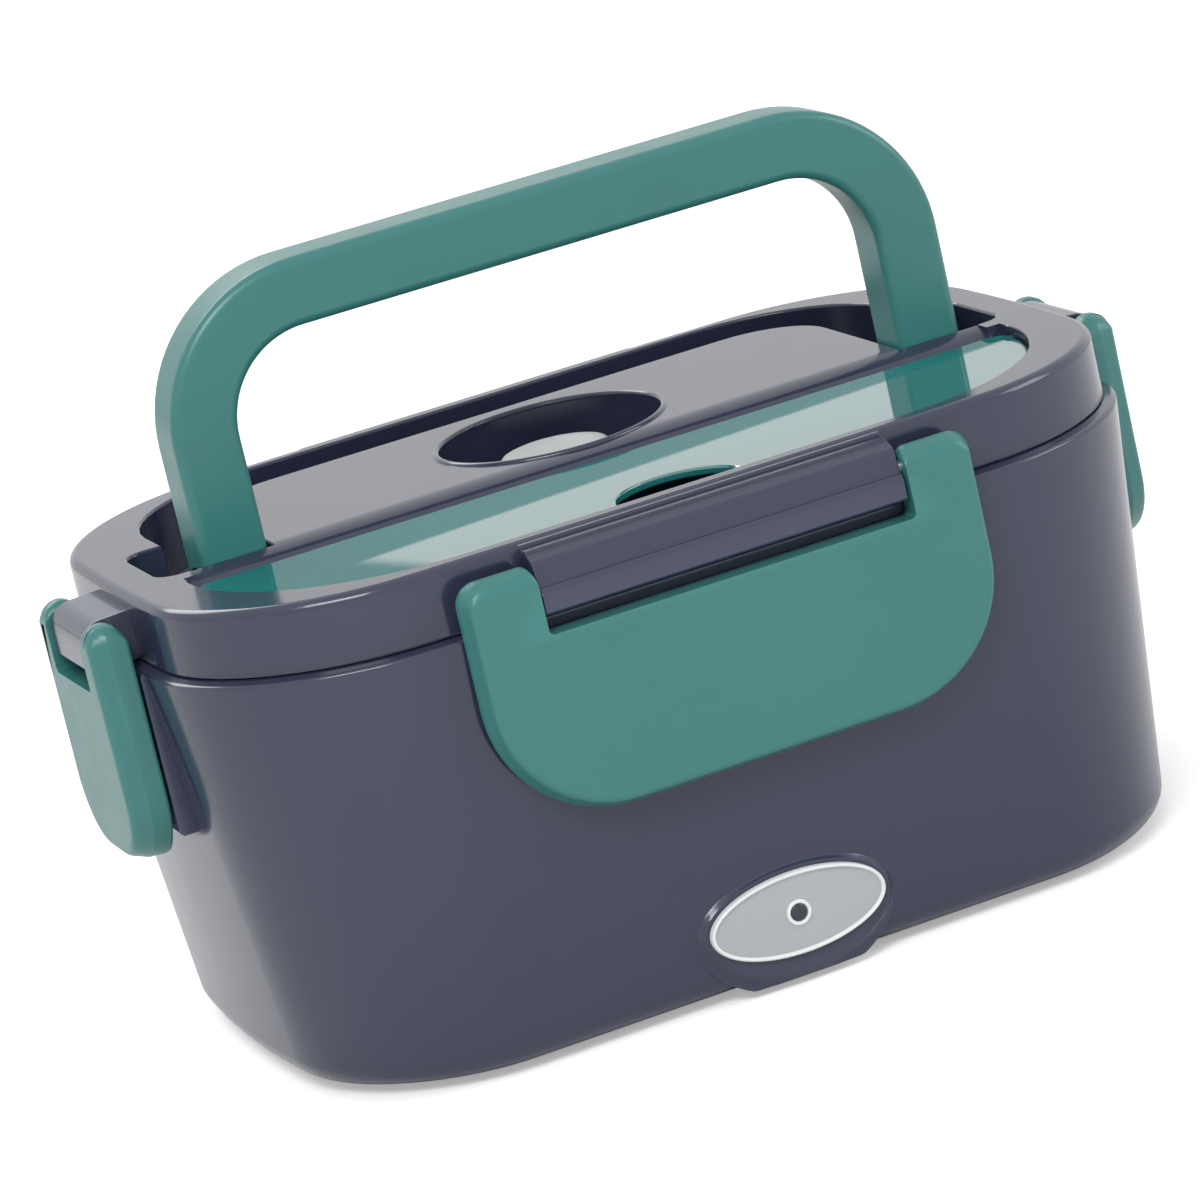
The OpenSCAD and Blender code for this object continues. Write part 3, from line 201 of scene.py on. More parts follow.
def skin(bm, stations, closed=False, corner_steps=20, side_cuts=8):
    """A skin over outlines, each (z, outline), capped at both ends or closed end to end."""
    a, b, r = PLAN
    plan = plan_notes(bm)
    before = set(bm.faces)
    verts = bmesh.ops.create_grid(bm, x_segments=1, y_segments=1, size=1)["verts"]
    bmesh.ops.scale(bm, vec=(a, b, 1), verts=verts)
    bmesh.ops.bevel(bm, geom=verts, offset=r, offset_type="OFFSET", segments=corner_steps,
                    profile=0.5, affect="VERTICES", material=-1, clamp_overlap=False)
    face = next(f for f in bm.faces if f not in before)
    straight = [e for e in face.edges if e.calc_length() > 20]
    bmesh.ops.subdivide_edges(bm, edges=straight, cuts=side_cuts)
    face = next(f for f in bm.faces if f not in before)
    for v in face.verts:
        v[plan] = v.co
        v.co = stretched(v[plan], *stations[0])
    first = ring = list(face.edges)
    if closed:
        bmesh.ops.delete(bm, geom=[face], context="FACES_ONLY")
    for z, outline in stations[1:]:
        verts = loose_verts(bmesh.ops.extrude_edge_only(bm, edges=ring))
        for v in verts:
            v.co = stretched(v[plan], z, outline)
        ring = ring_between(verts)
    if closed:
        bmesh.ops.bridge_loops(bm, edges=first + ring)
    else:
        bmesh.ops.contextual_create(bm, geom=ring)


def rounded(radius, steps):
    """A quarter turn as (inwards, upwards) steps, from the foot of a round edge to its side."""
    turns = [math.pi / 2 * i / steps for i in range(steps + 1)]
    return [(radius * (1 - math.sin(t)), radius * (1 - math.cos(t))) for t in turns]


def bar(bm, profile, place, length):
    """A bar: a flat profile of a few points, set in place and drawn out along its own Z."""
    face = bm.faces.new([bm.verts.new((x, y, 0)) for x, y in profile])
    made = bmesh.ops.extrude_face_region(bm, geom=[face], use_keep_orig=True)
    top = loose_verts(made)
    bmesh.ops.translate(bm, vec=(0, 0, length), verts=top)
    verts = top + list(face.verts)
    bmesh.ops.recalc_face_normals(bm, faces=list({f for v in verts for f in v.link_faces}))
    bmesh.ops.transform(bm, matrix=place, verts=verts)
    return verts


def block(size, middle):
    """A plain box as a solid of its own, for a cut."""
    bm = bmesh.new()
    verts = bmesh.ops.create_cube(bm, size=1)["verts"]
    bmesh.ops.scale(bm, vec=size, verts=verts)
    bmesh.ops.translate(bm, vec=middle, verts=verts)
    return bm


def soften(bm, verts, width, steps=2):
    """Rounds the edges of a bar that turn by more than a little."""
    edges = [e for e in {e for v in verts for e in v.link_edges}
             if len(e.link_faces) == 2 and e.calc_face_angle() > 0.5]
    bmesh.ops.bevel(bm, geom=edges, offset=width, segments=steps, profile=0.5,
                    affect="EDGES", material=-1, clamp_overlap=True)


def axes(x, y, z, at=(0, 0, 0)):
    """A placement from the directions that its own X, Y and Z take."""
    return Matrix.Translation(at) @ Matrix((x, y, z)).transposed().to_4x4()


def make(name, bm, material, body, slot, *nodes, keep_sharp=35):
    """Turns a mesh in millimetres into a finished piece of the box."""
    bmesh.ops.remove_doubles(bm, verts=bm.verts, dist=0.002)
    bmesh.ops.recalc_face_normals(bm, faces=bm.faces)
    bmesh.ops.scale(bm, vec=(0.001, 0.001, 0.001), verts=bm.verts)
    for f in bm.faces:
        f.smooth = True
    mesh = bpy.data.meshes.new(name)
    bm.to_mesh(mesh)
    bm.free()
    piece = bpy.data.objects.new(name, mesh)
    scene.collection.objects.link(piece)
    mesh.set_sharp_from_angle(angle=math.radians(keep_sharp))
    flat_first = piece.modifiers.new("even shading", "WEIGHTED_NORMAL")
    flat_first.keep_sharp = True
    mesh.materials.append(material)
    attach(piece, body)
    if nodes:
        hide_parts(*nodes)
    return piece


def carve(bm, cutters):
    """Cuts solids out of a solid, all in millimetres, and gives back what is left."""
    scratch = []
    for form in [bm] + cutters:
        bmesh.ops.recalc_face_normals(form, faces=form.faces)
        mesh = bpy.data.meshes.new("scratch")
        form.to_mesh(mesh)
        form.free()
        scratch.append(bpy.data.objects.new("scratch", mesh))
        scene.collection.objects.link(scratch[-1])
    for tool in scratch[1:]:
        cut = scratch[0].modifiers.new("cut", "BOOLEAN")
        cut.operation = "DIFFERENCE"
        cut.solver = "EXACT"
        cut.object = tool
    bpy.context.view_layer.update()
    left = bmesh.new()
    left.from_object(scratch[0], bpy.context.evaluated_depsgraph_get())
    for obj in scratch:
        mesh = obj.data
        bpy.data.objects.remove(obj)
        bpy.data.meshes.remove(mesh)
    return left


def moulded_skin():
    """Nodes for a moulded surface: uneven colour, a fine grain, a little handling wear and a painted
    highlight along convex edges.
    """
    group = bpy.data.node_groups.new("moulded skin", "ShaderNodeTree")
    face = group.interface
    for label, kind, value in (("Colour", "NodeSocketColor", (0.5, 0.5, 0.5, 1)),
                               ("Roughness", "NodeSocketFloat", 0.3),
                               ("Mottle", "NodeSocketFloat", 0.06),
                               ("Grain Scale", "NodeSocketFloat", 1800.0),
                               ("Grain Depth", "NodeSocketFloat", 0.00002),
                               ("Smudge", "NodeSocketFloat", 0.1),
                               ("Edge Wear And Highlight", "NodeSocketFloat", 0.1)):
        face.new_socket(label, in_out="INPUT", socket_type=kind).default_value = value
    for label, kind in (("Colour", "NodeSocketColor"), ("Roughness", "NodeSocketFloat"),
                        ("Normal", "NodeSocketVector")):
        face.new_socket(label, in_out="OUTPUT", socket_type=kind)
    nodes, links = group.nodes, group.links
    given = nodes.new("NodeGroupInput")
    result = nodes.new("NodeGroupOutput")
    where = nodes.new("ShaderNodeTexCoord")

    def noise(scale, detail, distortion=0.0):
        n = nodes.new("ShaderNodeTexNoise")
        n.inputs["Detail"].default_value = detail
        n.inputs["Distortion"].default_value = distortion
        if scale:
            n.inputs["Scale"].default_value = scale
        links.new(where.outputs["Object"], n.inputs["Vector"])
        return n

    def calc(kind, a, b, c=None):
        m = nodes.new("ShaderNodeMath")
        m.operation = kind
        for socket, value in zip(m.inputs, (a, b, c)):
            if value is None:
                continue
            if isinstance(value, (int, float)):
                socket.default_value = value
            else:
                links.new(value, socket)
        return m.outputs[0]

    cloud = noise(22, 3)
    patch = calc("SUBTRACT", cloud.outputs["Fac"], 0.5)
    shade = calc("MULTIPLY_ADD", patch, given.outputs["Mottle"], 1.0)
    # Painted highlight with a little wear: the colour is lifted where the surface turns sharply
    # outwards, along convex edges.
    convex_edges = nodes.new("ShaderNodeNewGeometry")
    edge = nodes.new("ShaderNodeMapRange")
    edge.inputs["From Min"].default_value = 0.53
    edge.inputs["From Max"].default_value = 0.62
    links.new(convex_edges.outputs["Pointiness"], edge.inputs["Value"])
    lift = calc("MULTIPLY", edge.outputs["Result"], given.outputs["Edge Wear And Highlight"])
    level = calc("ADD", shade, lift)
    tone = nodes.new("ShaderNodeHueSaturation")
    links.new(given.outputs["Colour"], tone.inputs["Color"])
    links.new(level, tone.inputs["Value"])
    links.new(tone.outputs["Color"], result.inputs["Colour"])

    wipe = noise(60, 5, 1.2)
    smear = calc("SUBTRACT", wipe.outputs["Fac"], 0.45)
    rough = calc("MULTIPLY_ADD", smear, given.outputs["Smudge"], given.outputs["Roughness"])
    links.new(rough, result.inputs["Roughness"])

    grain = noise(None, 2)
    links.new(given.outputs["Grain Scale"], grain.inputs["Scale"])
    relief = nodes.new("ShaderNodeBump")
    relief.inputs["Strength"].default_value = 1.0
    links.new(given.outputs["Grain Depth"], relief.inputs["Distance"])
    links.new(grain.outputs["Fac"], relief.inputs["Height"])
    links.new(relief.outputs["Normal"], result.inputs["Normal"])
    return group


moulded = moulded_skin()


def finish_of(name, colour, roughness, metallic=0.0, mottle=0.08, grain=1800.0, depth=0.000012,
              smudge=0.12, edge=0.15, **sockets):
    """A material that wears the moulded skin. The rest of its numbers sit on the shader."""
    material = bpy.data.materials.new(name)
    material.use_nodes = True
    tree = material.node_tree
    shader = tree.nodes["Principled BSDF"]
    skin_node = tree.nodes.new("ShaderNodeGroup")
    skin_node.node_tree = moulded
    skin_node.inputs["Colour"].default_value = (*colour, 1)
    skin_node.inputs["Roughness"].default_value = roughness
    skin_node.inputs["Mottle"].default_value = mottle
    skin_node.inputs["Grain Scale"].default_value = grain
    skin_node.inputs["Grain Depth"].default_value = depth
    skin_node.inputs["Smudge"].default_value = smudge
    # edge: how far the colour is lifted along convex edges, partly wear and partly a painted highlight.
    skin_node.inputs["Edge Wear And Highlight"].default_value = edge
    tree.links.new(skin_node.outputs["Colour"], shader.inputs["Base Color"])
    tree.links.new(skin_node.outputs["Roughness"], shader.inputs["Roughness"])
    tree.links.new(skin_node.outputs["Normal"], shader.inputs["Normal"])
    shader.inputs["Metallic"].default_value = metallic
    for label, value in sockets.items():
        shader.inputs[label.replace("_", " ")].default_value = value
    return material


# A strong edge lift: a painted highlight along the slate's convex edges, with a little wear.
slate = finish_of("slate plastic", (0.029, 0.035, 0.068), 0.16, mottle=0.1, edge=0.5, Coat_Weight=0.2,
                  Coat_Roughness=0.06)

floor_window, window_lap = (60.5, 35.5, 10.5, 0, 0), (56, 31, 6, 0, 0)
bm = bmesh.new()
skin(bm, [(20, window_lap), (20, wall_at(20, 3.2)), (9.8, wall_at(9.8, 3.2)),
          (5.9, wall_at(5.9, 10.8)), (4.32, wall_at(4.32, 10.8)), (4.3, wall_at(4.3, 9)),
          (1.8, wall_at(1.8, 9))]
     + [(1.8 + up, wall_at(1.8 + up, into)) for into, up in rounded(6, 10)]
     + [(z, wall_at(z, 0)) for z in (30, 55, 80, 93.9)]
     + [(94.35, rim_at(0.1)), (94.7, rim_at(0.36)), (94.92, rim_at(0.78)), (95, rim_at(1.3)),
        (95.25, rim_at(2.2)), (95.4, rim_at(2.7)), (95.4, rim_at(3.8)), (95.3, rim_at(4.08)),
        (95, rim_at(4.2)), (91, rim_at(4.2)), (88, wall_at(88, tub_wall)), (60, wall_at(60, tub_wall)),
        (26.4, wall_at(26.4, tub_wall)), (24.4, wall_at(24.4, 3.0)), (23, wall_at(23, 4.4)),
        (22.4, wall_at(22.4, 6.6)), (22.4, floor_window), (21, floor_window), (21, window_lap)],
     closed=True)
bm = carve(bm, [block((21.9, 20, 13.9), (0, 66, 12))])  # the power inlet's hole

# The swelling at the foot of the front wall, which carries the oval plate
oval_a, oval_b, oval_y, oval_z = 20.3, 9.0, -72.03, 16.0
plan = plan_notes(bm)
lobe = bmesh.ops.create_circle(bm, cap_ends=True, segments=96, radius=1)["verts"]
for v in lobe:
    v[plan] = v.co
boss_steps = [(0.3, 0.3, 0.05, 0), (0.9, 0.9, 0.1, 0.02), (1.25, 1.1, 0.35, 0.08),
              (1.5, 1.35, 0.6, 0.12), (1.85, 1.75, 0.97, 0.12), (2.25, 2.3, 1.4, 0.12),
              (2.7, 3.3, 1.8, 0.12), (3.2, 4.6, 2.15, 0.12), (4, 7, 2.7, 0)]
for i, (wider, taller, back, flare) in enumerate(boss_steps):
    if i:
        lobe = loose_verts(bmesh.ops.extrude_edge_only(bm, edges=ring_between(lobe)))
    for v in lobe:
        rise = v[plan].y * (oval_b + taller)
        low = max(0, -rise) * flare  # the lower half flares out to a flat foot
        v.co = (v[plan].x * (oval_a + wider), oval_y + back - low, max(oval_z + rise - 2 * low, tub_low))
bmesh.ops.contextual_create(bm, geom=ring_between(lobe))

ridge_z = 88  # underside of the ridges that the latches snap under


def ridge(bm, root, tip, half, place):
    """One ridge, from its root in the wall to its tip: flat below and sloped above."""
    profile = [(root, ridge_z), (tip, ridge_z), (tip, ridge_z + 1), (root, ridge_z + 2.3)]
    soften(bm, bar(bm, profile, place @ Matrix.Translation((0, 0, -half)), 2 * half), 0.25)


# The upright pads behind the end latches, and a ridge on each of the four sides
pad = [(107.4, 58.1), (111.5, 58.1), (112.3, 59.1), (112.3, 94), (111.7, 94.6), (110.3, 94.6)]
pad_half = 20.6
for side in (1, -1):
    verts = bar(bm, pad, axes((side, 0, 0), (0, 0, 1), (0, 1, 0), (0, -pad_half, 0)), 2 * pad_half)
    soften(bm, verts, 0.5)
    ridge(bm, 111.3, 113.5, 11.9, axes((side, 0, 0), (0, 0, 1), (0, 1, 0)))
    ridge(bm, 73.3, 75.54, 37.8, axes((0, side, 0), (0, 0, 1), (1, 0, 0)))
make("tub", bm, slate, "base", "slate_plastic", "outer_shell")

# --- Base parts -----------------------------------------------------------
# Below the inner floor: a slotted cover held by four screws, rubber feet, and
# the heater with its clamp, thermostat, fuse and wires, all as they come.


def as_supplied(node, material, slot, keep_sharp=32):
    """A bought or simple part: the frame's own form, with its faces joined up and its rounds smooth."""
    bm = bmesh.new()
    bm.from_mesh(frame["nodes"][node].data)
    bmesh.ops.scale(bm, vec=(1000, 1000, 1000), verts=bm.verts)
    bmesh.ops.remove_doubles(bm, verts=bm.verts, dist=0.004)
    bmesh.ops.dissolve_limit(bm, angle_limit=math.radians(0.6), verts=bm.verts, edges=bm.edges)
    body = next(b for b, held in frame["record"]["behaviour"]["bodies"].items() if node in held)
    return make(node + "_part", bm, material, body, slot, node, keep_sharp=keep_sharp)


as_supplied("bottom_cover", finish_of("base plastic", (0.022, 0.024, 0.033), 0.42, grain=900.0,
                                      depth=0.00005, edge=0.2), "base_plastic")
as_supplied("rubber_feet", finish_of("foot rubber", (0.012, 0.012, 0.013), 0.75, mottle=0.3,
                                     grain=1200.0, depth=0.00006, edge=0.3), "foot_rubber")
screw_steel = finish_of("screw steel", (0.5, 0.5, 0.49), 0.32, metallic=1.0, mottle=0.2, edge=0.2)
as_supplied("bottom_screws", screw_steel, "screw_steel")
as_supplied("heater_screws", screw_steel, "screw_steel")
plate_metal = finish_of("heater aluminium", (0.62, 0.63, 0.64), 0.33, metallic=1.0, mottle=0.12,
                        grain=700.0, depth=0.00002, smudge=0.25)
as_supplied("heating_plate", plate_metal, "heater_aluminium")
as_supplied("heater_clamp", screw_steel, "screw_steel")
heater_ceramic = finish_of("heater ceramic", (0.5, 0.47, 0.4), 0.7, mottle=0.25)
as_supplied("ptc_heater", heater_ceramic, "heater_ceramic")
as_supplied("thermal_fuse", heater_ceramic, "heater_ceramic")
as_supplied("thermostat", finish_of("device body", (0.38, 0.31, 0.22), 0.5, mottle=0.25), "device_body")
as_supplied("wiring", finish_of("wire insulation", (0.42, 0.05, 0.04), 0.5, mottle=0.2),
            "wire_insulation", keep_sharp=60)
as_supplied("power_inlet", finish_of("inlet plastic", (0.012, 0.012, 0.014), 0.38, grain=1100.0,
                                     depth=0.00003), "inlet_plastic")
as_supplied("inlet_pins", finish_of("contact brass", (0.68, 0.55, 0.3), 0.26, metallic=1.0,
                                    mottle=0.15), "contact_brass")
as_supplied("led_board", finish_of("board", (0.02, 0.13, 0.05), 0.45, mottle=0.3), "board")

# --- Indicator ------------------------------------------------------------
# A silver oval face inside a raised white rim, with a small dark lamp in the
# middle that has a white ring of its own.


def oval_ring(bm, stations, steps=96):
    """A closed rim of oval section: each station is how far it is drawn in and how far forward."""
    plan = plan_notes(bm)
    verts = bmesh.ops.create_circle(bm, cap_ends=False, segments=steps, radius=1)["verts"]
    for v in verts:
        v[plan] = v.co
    first = ring = ring_between(verts)
    for i, (half_l, half_h, y) in enumerate(stations):
        if i:
            verts = loose_verts(bmesh.ops.extrude_edge_only(bm, edges=ring))
            ring = ring_between(verts)
        for v in verts:
            v.co = (v[plan].x * half_l, y, oval_z + v[plan].y * half_h)
    bmesh.ops.bridge_loops(bm, edges=first + ring)


def round_rim(half_l, half_h, width, back, front):
    """Stations round the section of a rim with a softly rounded face."""
    out = [(half_l, half_h, back)]
    for i in range(9):
        turn = math.pi * i / 8
        into = width * (1 - math.cos(turn)) / 2
        rise = (front - back) * (0.45 + 0.55 * math.sin(turn))
        out.append((half_l - into, half_h - into, back + rise))
    out.append((half_l - width, half_h - width, back))
    return out


bezel_white = finish_of("white plastic", (0.78, 0.79, 0.79), 0.3, mottle=0.05, edge=0.05)
bm = bmesh.new()
oval_ring(bm, round_rim(oval_a, oval_b, 1.0, oval_y, oval_y - 1.5))
oval_ring(bm, round_rim(2.8, 2.8, 0.8, oval_y - 0.8, oval_y - 1.3), steps=40)
make("oval_rim", bm, bezel_white, "base", "white_plastic", "indicator_bezel", keep_sharp=60)

silver = finish_of("silver face", (0.40, 0.41, 0.43), 0.36, metallic=0.25, mottle=0.12,
                   grain=2600.0, depth=0.00003, smudge=0.2)
face_y = oval_y - 0.8
bm = bmesh.new()
disc = bmesh.ops.create_circle(bm, cap_ends=True, segments=96, radius=1)["verts"]
bmesh.ops.transform(bm, verts=disc, matrix=axes((oval_a - 1, 0, 0), (0, 0, oval_b - 1), (0, -1, 0),
                                                (0, face_y, oval_z)))
made = bmesh.ops.extrude_face_region(bm, geom=list(bm.faces), use_keep_orig=True)
bmesh.ops.translate(bm, vec=(0, 0.8, 0), verts=loose_verts(made))
make("oval_face", bm, silver, "base", "silver_face", "indicator_plate")

lamp_dark = finish_of("lamp lens", (0.03, 0.035, 0.05), 0.08, mottle=0.2, edge=0.0, depth=0.0)
bm = bmesh.new()
bmesh.ops.create_uvsphere(bm, u_segments=32, v_segments=16, radius=1.9)
bmesh.ops.bisect_plane(bm, geom=list(bm.verts) + list(bm.edges) + list(bm.faces), plane_co=(0, 0, 0.001),
                       plane_no=(0, 0, 1), clear_inner=True)
base_ring = [e for e in bm.edges if e.is_boundary]
bmesh.ops.scale(bm, vec=(1, 1, 0.28), verts=bm.verts)
sunk = loose_verts(bmesh.ops.extrude_edge_only(bm, edges=base_ring))
bmesh.ops.translate(bm, vec=(0, 0, -9.4), verts=sunk)
bmesh.ops.contextual_create(bm, geom=ring_between(sunk))
bmesh.ops.transform(bm, matrix=axes((1, 0, 0), (0, 0, 1), (0, -1, 0), (0, face_y - 0.1, oval_z)),
                    verts=bm.verts)
make("lamp", bm, lamp_dark, "base", "lens_dark", "led_lens")

# --- Container and side bowl ----------------------------------------------
# A drawn steel container with a rolled rim lifts out of the tub, and a small
# plastic bowl hangs in its right-hand end.


def container_wall(z, inset):
    t = (84.7 - z) / (84.7 - 23.1)
    return wall_at(z, 10.1 + t + inset)


steel = finish_of("container steel", (0.63, 0.63, 0.62), 0.2, metallic=1.0, mottle=0.06, grain=500.0,
                  depth=0.000006, smudge=0.18, edge=0.05)
bm = bmesh.new()
outside = [(23.1 + up, container_wall(23.1 + up, into)) for into, up in rounded(9, 8)]
inside = [(23.9 + up, container_wall(23.9 + up, into + 0.8)) for into, up in rounded(8.2, 8)]
skin(bm, outside + [(z, container_wall(z, 0)) for z in (50, 70, 83.7)]
     + [(84.3, rim_at(8.5)), (86.7, rim_at(8.5)), (86.7, rim_at(6.0)), (85.7, rim_at(5.8)),
        (85.8, rim_at(5.7)), (87.2, rim_at(5.7)), (87.5, rim_at(5.85)), (87.7, rim_at(6.2)),
        (87.7, rim_at(8.7)), (87.55, rim_at(9.1)), (87.1, rim_at(9.3)), (84.9, rim_at(9.3)),
        (84.7, container_wall(84.7, 0.8)), (83.7, container_wall(83.7, 0.8))]
     + [(z, container_wall(z, 0.8)) for z in (70, 50)] + inside[::-1])
make("steel_container", bm, steel, "container", "container_steel", "food_container")
bowl_white = finish_of("bowl plastic", (0.68, 0.72, 0.72), 0.34, mottle=0.05)
as_supplied("side_bowl", bowl_white, "bowl_plastic")

# --- Lid ------------------------------------------------------------------
# A deep slate moulding that lifts off. Its top has a channel for the folded
# handle round a flat panel, a steam vent, and a roll before the cutlery tray.

lid_foot, lid_top, lid_round = 95.7, 110.1, 2.0
lid_in = 2.6  # the lid's wall stands this far inside the tub's rim
vent_y, vent_r = 16.6, 25  # the middle and the radius of the vent's recess
hinge_y, hinge_z = -17, 106.6  # the axis that the cutlery cover swings on


def lid_at(z, inset):
    t = (z - lid_foot) / (lid_top - lid_foot)
    lean = 0.6 * (1 + t)
    return (112 - inset, 74.7 - inset - lean, 46 - inset - lean, 3.4, 1.9)


def flat_plan(bm, corners, z, steps=10):
    """A flat face from corners, each (x, y, radius), with the corners rounded."""
    before = set(bm.faces)
    verts = [bm.verts.new((x, y, z)) for x, y, r in corners]
    bm.faces.new(verts)
    for v, (x, y, r) in zip(verts, corners):
        if r > 0:
            bmesh.ops.bevel(bm, geom=[v], offset=r, offset_type="OFFSET", segments=steps, profile=0.5,
                            affect="VERTICES", material=-1, clamp_overlap=False)
    return next(f for f in bm.faces if f not in before)


def tower(plans, steps=10):
    """A solid through flat plans, each (z, corners), that match corner for corner."""
    bm = bmesh.new()
    faces = [flat_plan(bm, corners, z, steps) for z, corners in plans]
    for low, high in zip(faces, faces[1:]):
        bmesh.ops.bridge_loops(bm, edges=list(low.edges) + list(high.edges))
    bmesh.ops.delete(bm, geom=faces[1:-1], context="FACES_ONLY")
    return bm


def lip(depth, width):
    """The rounded edge of an opening in the top, as (z, how far it has spread)."""
    turns = [math.pi / 2 * i / 4 for i in range(5)]
    curve = [(lid_top - depth * (1 - math.sin(t)), width * (1 - math.cos(t))) for t in turns]
    return curve[:-1] + [(lid_top + 0.02, width), (lid_top + 6, width)]


def channel_plan(grow):
    """The channel: round the back of the flat panel, with a wider pocket at each handle foot."""
    side, pocket, front, back = 90.8 + grow, 100 + grow, -9.3 - grow, 66.0 + grow
    flat_side, flat_back = 74.4 - grow, 49.6 - grow
    right = [(pocket, front, 5 + grow), (pocket, 20 + grow, 5 + grow), (side, 20 + grow, 0),
             (side, back, 34.8 + grow)]
    inner = [(flat_side, flat_back, 18.4 - grow), (flat_side, front, 0)]
    left = [(-x, y, r) for x, y, r in reversed(right)]
    return right + left + [(-x, y, r) for x, y, r in reversed(inner)] + inner


def tray_plan(inset, back):
    a, f, r = 96.2 - inset, -65 + inset, 46 - inset
    return [(-a, -back, 4), (-a, f, r), (a, f, r), (a, -back, 4)]


def rod(bm, radius, length, middle, steps):
    """A round bar that lies along X."""
    made = bmesh.ops.create_cone(bm, cap_ends=True, segments=steps, radius1=radius, radius2=radius,
                                 depth=length)
    bmesh.ops.transform(bm, matrix=axes((0, 0, -1), (0, 1, 0), (1, 0, 0), middle), verts=made["verts"])
    return made["verts"]


def turned(outline, steps):
    """A round solid about the vent's upright middle line, from (radius, height) points."""
    bm = bmesh.new()
    line = [bm.verts.new((x, 0, z)) for x, z in outline]
    edges = [bm.edges.new(pair) for pair in zip(line, line[1:])]
    bmesh.ops.spin(bm, geom=line + edges, cent=(0, 0, 0), axis=(0, 0, 1), angle=2 * math.pi,
                   steps=steps, use_merge=True)
    bmesh.ops.remove_doubles(bm, verts=bm.verts, dist=0.001)
    bmesh.ops.translate(bm, vec=(0, vent_y, 0), verts=bm.verts)
    return bm


def roll_profile():
    sweep = [math.pi / 2 * i / 16 for i in range(17)]
    curve = [(-6.7 - 8.2 * math.sin(t), lid_top - 3.9 * (1 - math.cos(t))) for t in sweep]
    return curve + [(-15.9, 106.2), (-15.9, 112), (-6.7, 112)]


bm = bmesh.new()
skin(bm, [(91.95, rim_at(6.4)), (95.7, rim_at(6.4)), (95.7, rim_at(3.0)), (95.8, rim_at(2.7)),
          (96.0, lid_at(96, lid_in))]
     + [(z, lid_at(z, lid_in)) for z in (100, 103)]
     + [(lid_top - up, lid_at(lid_top - up, lid_in + into))
        for into, up in reversed(rounded(lid_round, 10))])

channel_cut = tower([(93.4, channel_plan(-0.8)), (93.65, channel_plan(-0.25)), (94.2, channel_plan(0))]
                    + [(z, channel_plan(g)) for z, g in lip(0.7, 0.7)])
tray_cut = tower([(z, tray_plan(inset, 19.6)) for z, inset in (
    (95.6, 4.0), (96.6, 3.0), (107, 3.0))], 24)
cover_cut = tower([(z, tray_plan(inset, 15.0)) for z, inset in (
    (106.3, -0.5), (109.6, -0.5), (109.9, -0.62), (110.12, -0.95), (116, -0.95))], 24)
roll_cut = bmesh.new()
bar(roll_cut, roll_profile(), axes((0, 1, 0), (0, 0, 1), (1, 0, 0), (-93.6, 0, 0)), 187.2)
hinge_cut = bmesh.new()
rod(hinge_cut, 2, 188.2, (0, hinge_y, hinge_z), steps=32)
hinge_top = block((188, 3.96, 8), (0, hinge_y, hinge_z + 4.01))
# Room for the cover's back corners as it swings up
end_cuts = [block((3.14, 4.6, 12), (side * 95.14, hinge_y, hinge_z + 3.9)) for side in (1, -1)]
vent_outline = [(0, 102.8), (6, 102.8), (6, 98), (24, 98), (vent_r - 0.3, 98.3), (vent_r, 99)]
vent_outline += [(vent_r + spread, z) for z, spread in lip(0.5, 0.5)] + [(0, 116.1)]
vent_cut = turned(vent_outline, 96)
bm = carve(bm, [roll_cut, cover_cut, tray_cut, hinge_cut, hinge_top, *end_cuts, channel_cut, vent_cut])

make("lid", bm, slate, "lid", "slate_plastic", "lid_shell", keep_sharp=30)

# The thin raised bead round the vent, and the ribbed blocks that the latch ears straddle
bm = bmesh.new()
section = bmesh.ops.create_circle(bm, cap_ends=False, segments=16, radius=0.8)["verts"]
bmesh.ops.transform(bm, verts=section, matrix=axes((1, 0, 0), (0, 0, 1), (0, -1, 0),
                                                   (vent_r + 0.75, 0, lid_top - 0.2)))
bmesh.ops.spin(bm, geom=section + ring_between(section), cent=(0, 0, 0), axis=(0, 0, 1),
               angle=2 * math.pi, steps=96, use_merge=True)
bmesh.ops.translate(bm, vec=(0, vent_y, 0), verts=bm.verts)
make("vent_bead", bm, slate, "lid", "slate_plastic", keep_sharp=60)

pin_z, pin_y, pin_x = 102.3, 76.2, 117.2  # hinge pins of the latches
steps_down = []  # the ribs of a long block, each (behind the pin, above it)
for y, z in ((4.6, 7.4), (1.7, 6.5), (-0.8, 4.8), (-2.9, -0.6)):
    steps_down += [(y + 0.5, z), (y, z - 0.08), (y - 0.1, z - 0.7)]
smooth_down = [(1.4, 4.2), (0.4, 4.05), (-0.6, 3.7), (-1.5, 3.15), (-2.2, 2.5), (-2.8, 1.6),
               (-3.2, 0.6), (-3.35, -0.7)]  # the plain round slope of a short block


def latch_block(bm, half, behind, top, slope, place):
    """A block between a latch's ears, drawn with the pin at its origin."""
    low = 95.9 - pin_z
    section = [(behind, low), (behind, top - 1), (behind + 0.4, top)] + slope
    section += [(-3.4, -2.0), (-3.4, low + 0.5), (-2.9, low)]
    verts = bar(bm, section, place @ axes((0, 1, 0), (0, 0, 1), (1, 0, 0), (-half, 0, 0)), 2 * half)
    ends = [e for e in {e for v in verts for e in v.link_edges} if len(e.link_faces) == 2
            and max(len(f.verts) for f in e.link_faces) > 6 and e.calc_face_angle() > 0.5]
    bmesh.ops.bevel(bm, geom=ends, offset=0.4, segments=2, profile=0.5, affect="EDGES", material=-1,
                    clamp_overlap=True)


def at_side(turn, out):
    """The place of a latch's pin on one side of the box: 0 front, 90 right, 180 rear, 270 left."""
    return Matrix.Rotation(math.radians(turn), 4, "Z") @ Matrix.Translation((0, -out, pin_z))


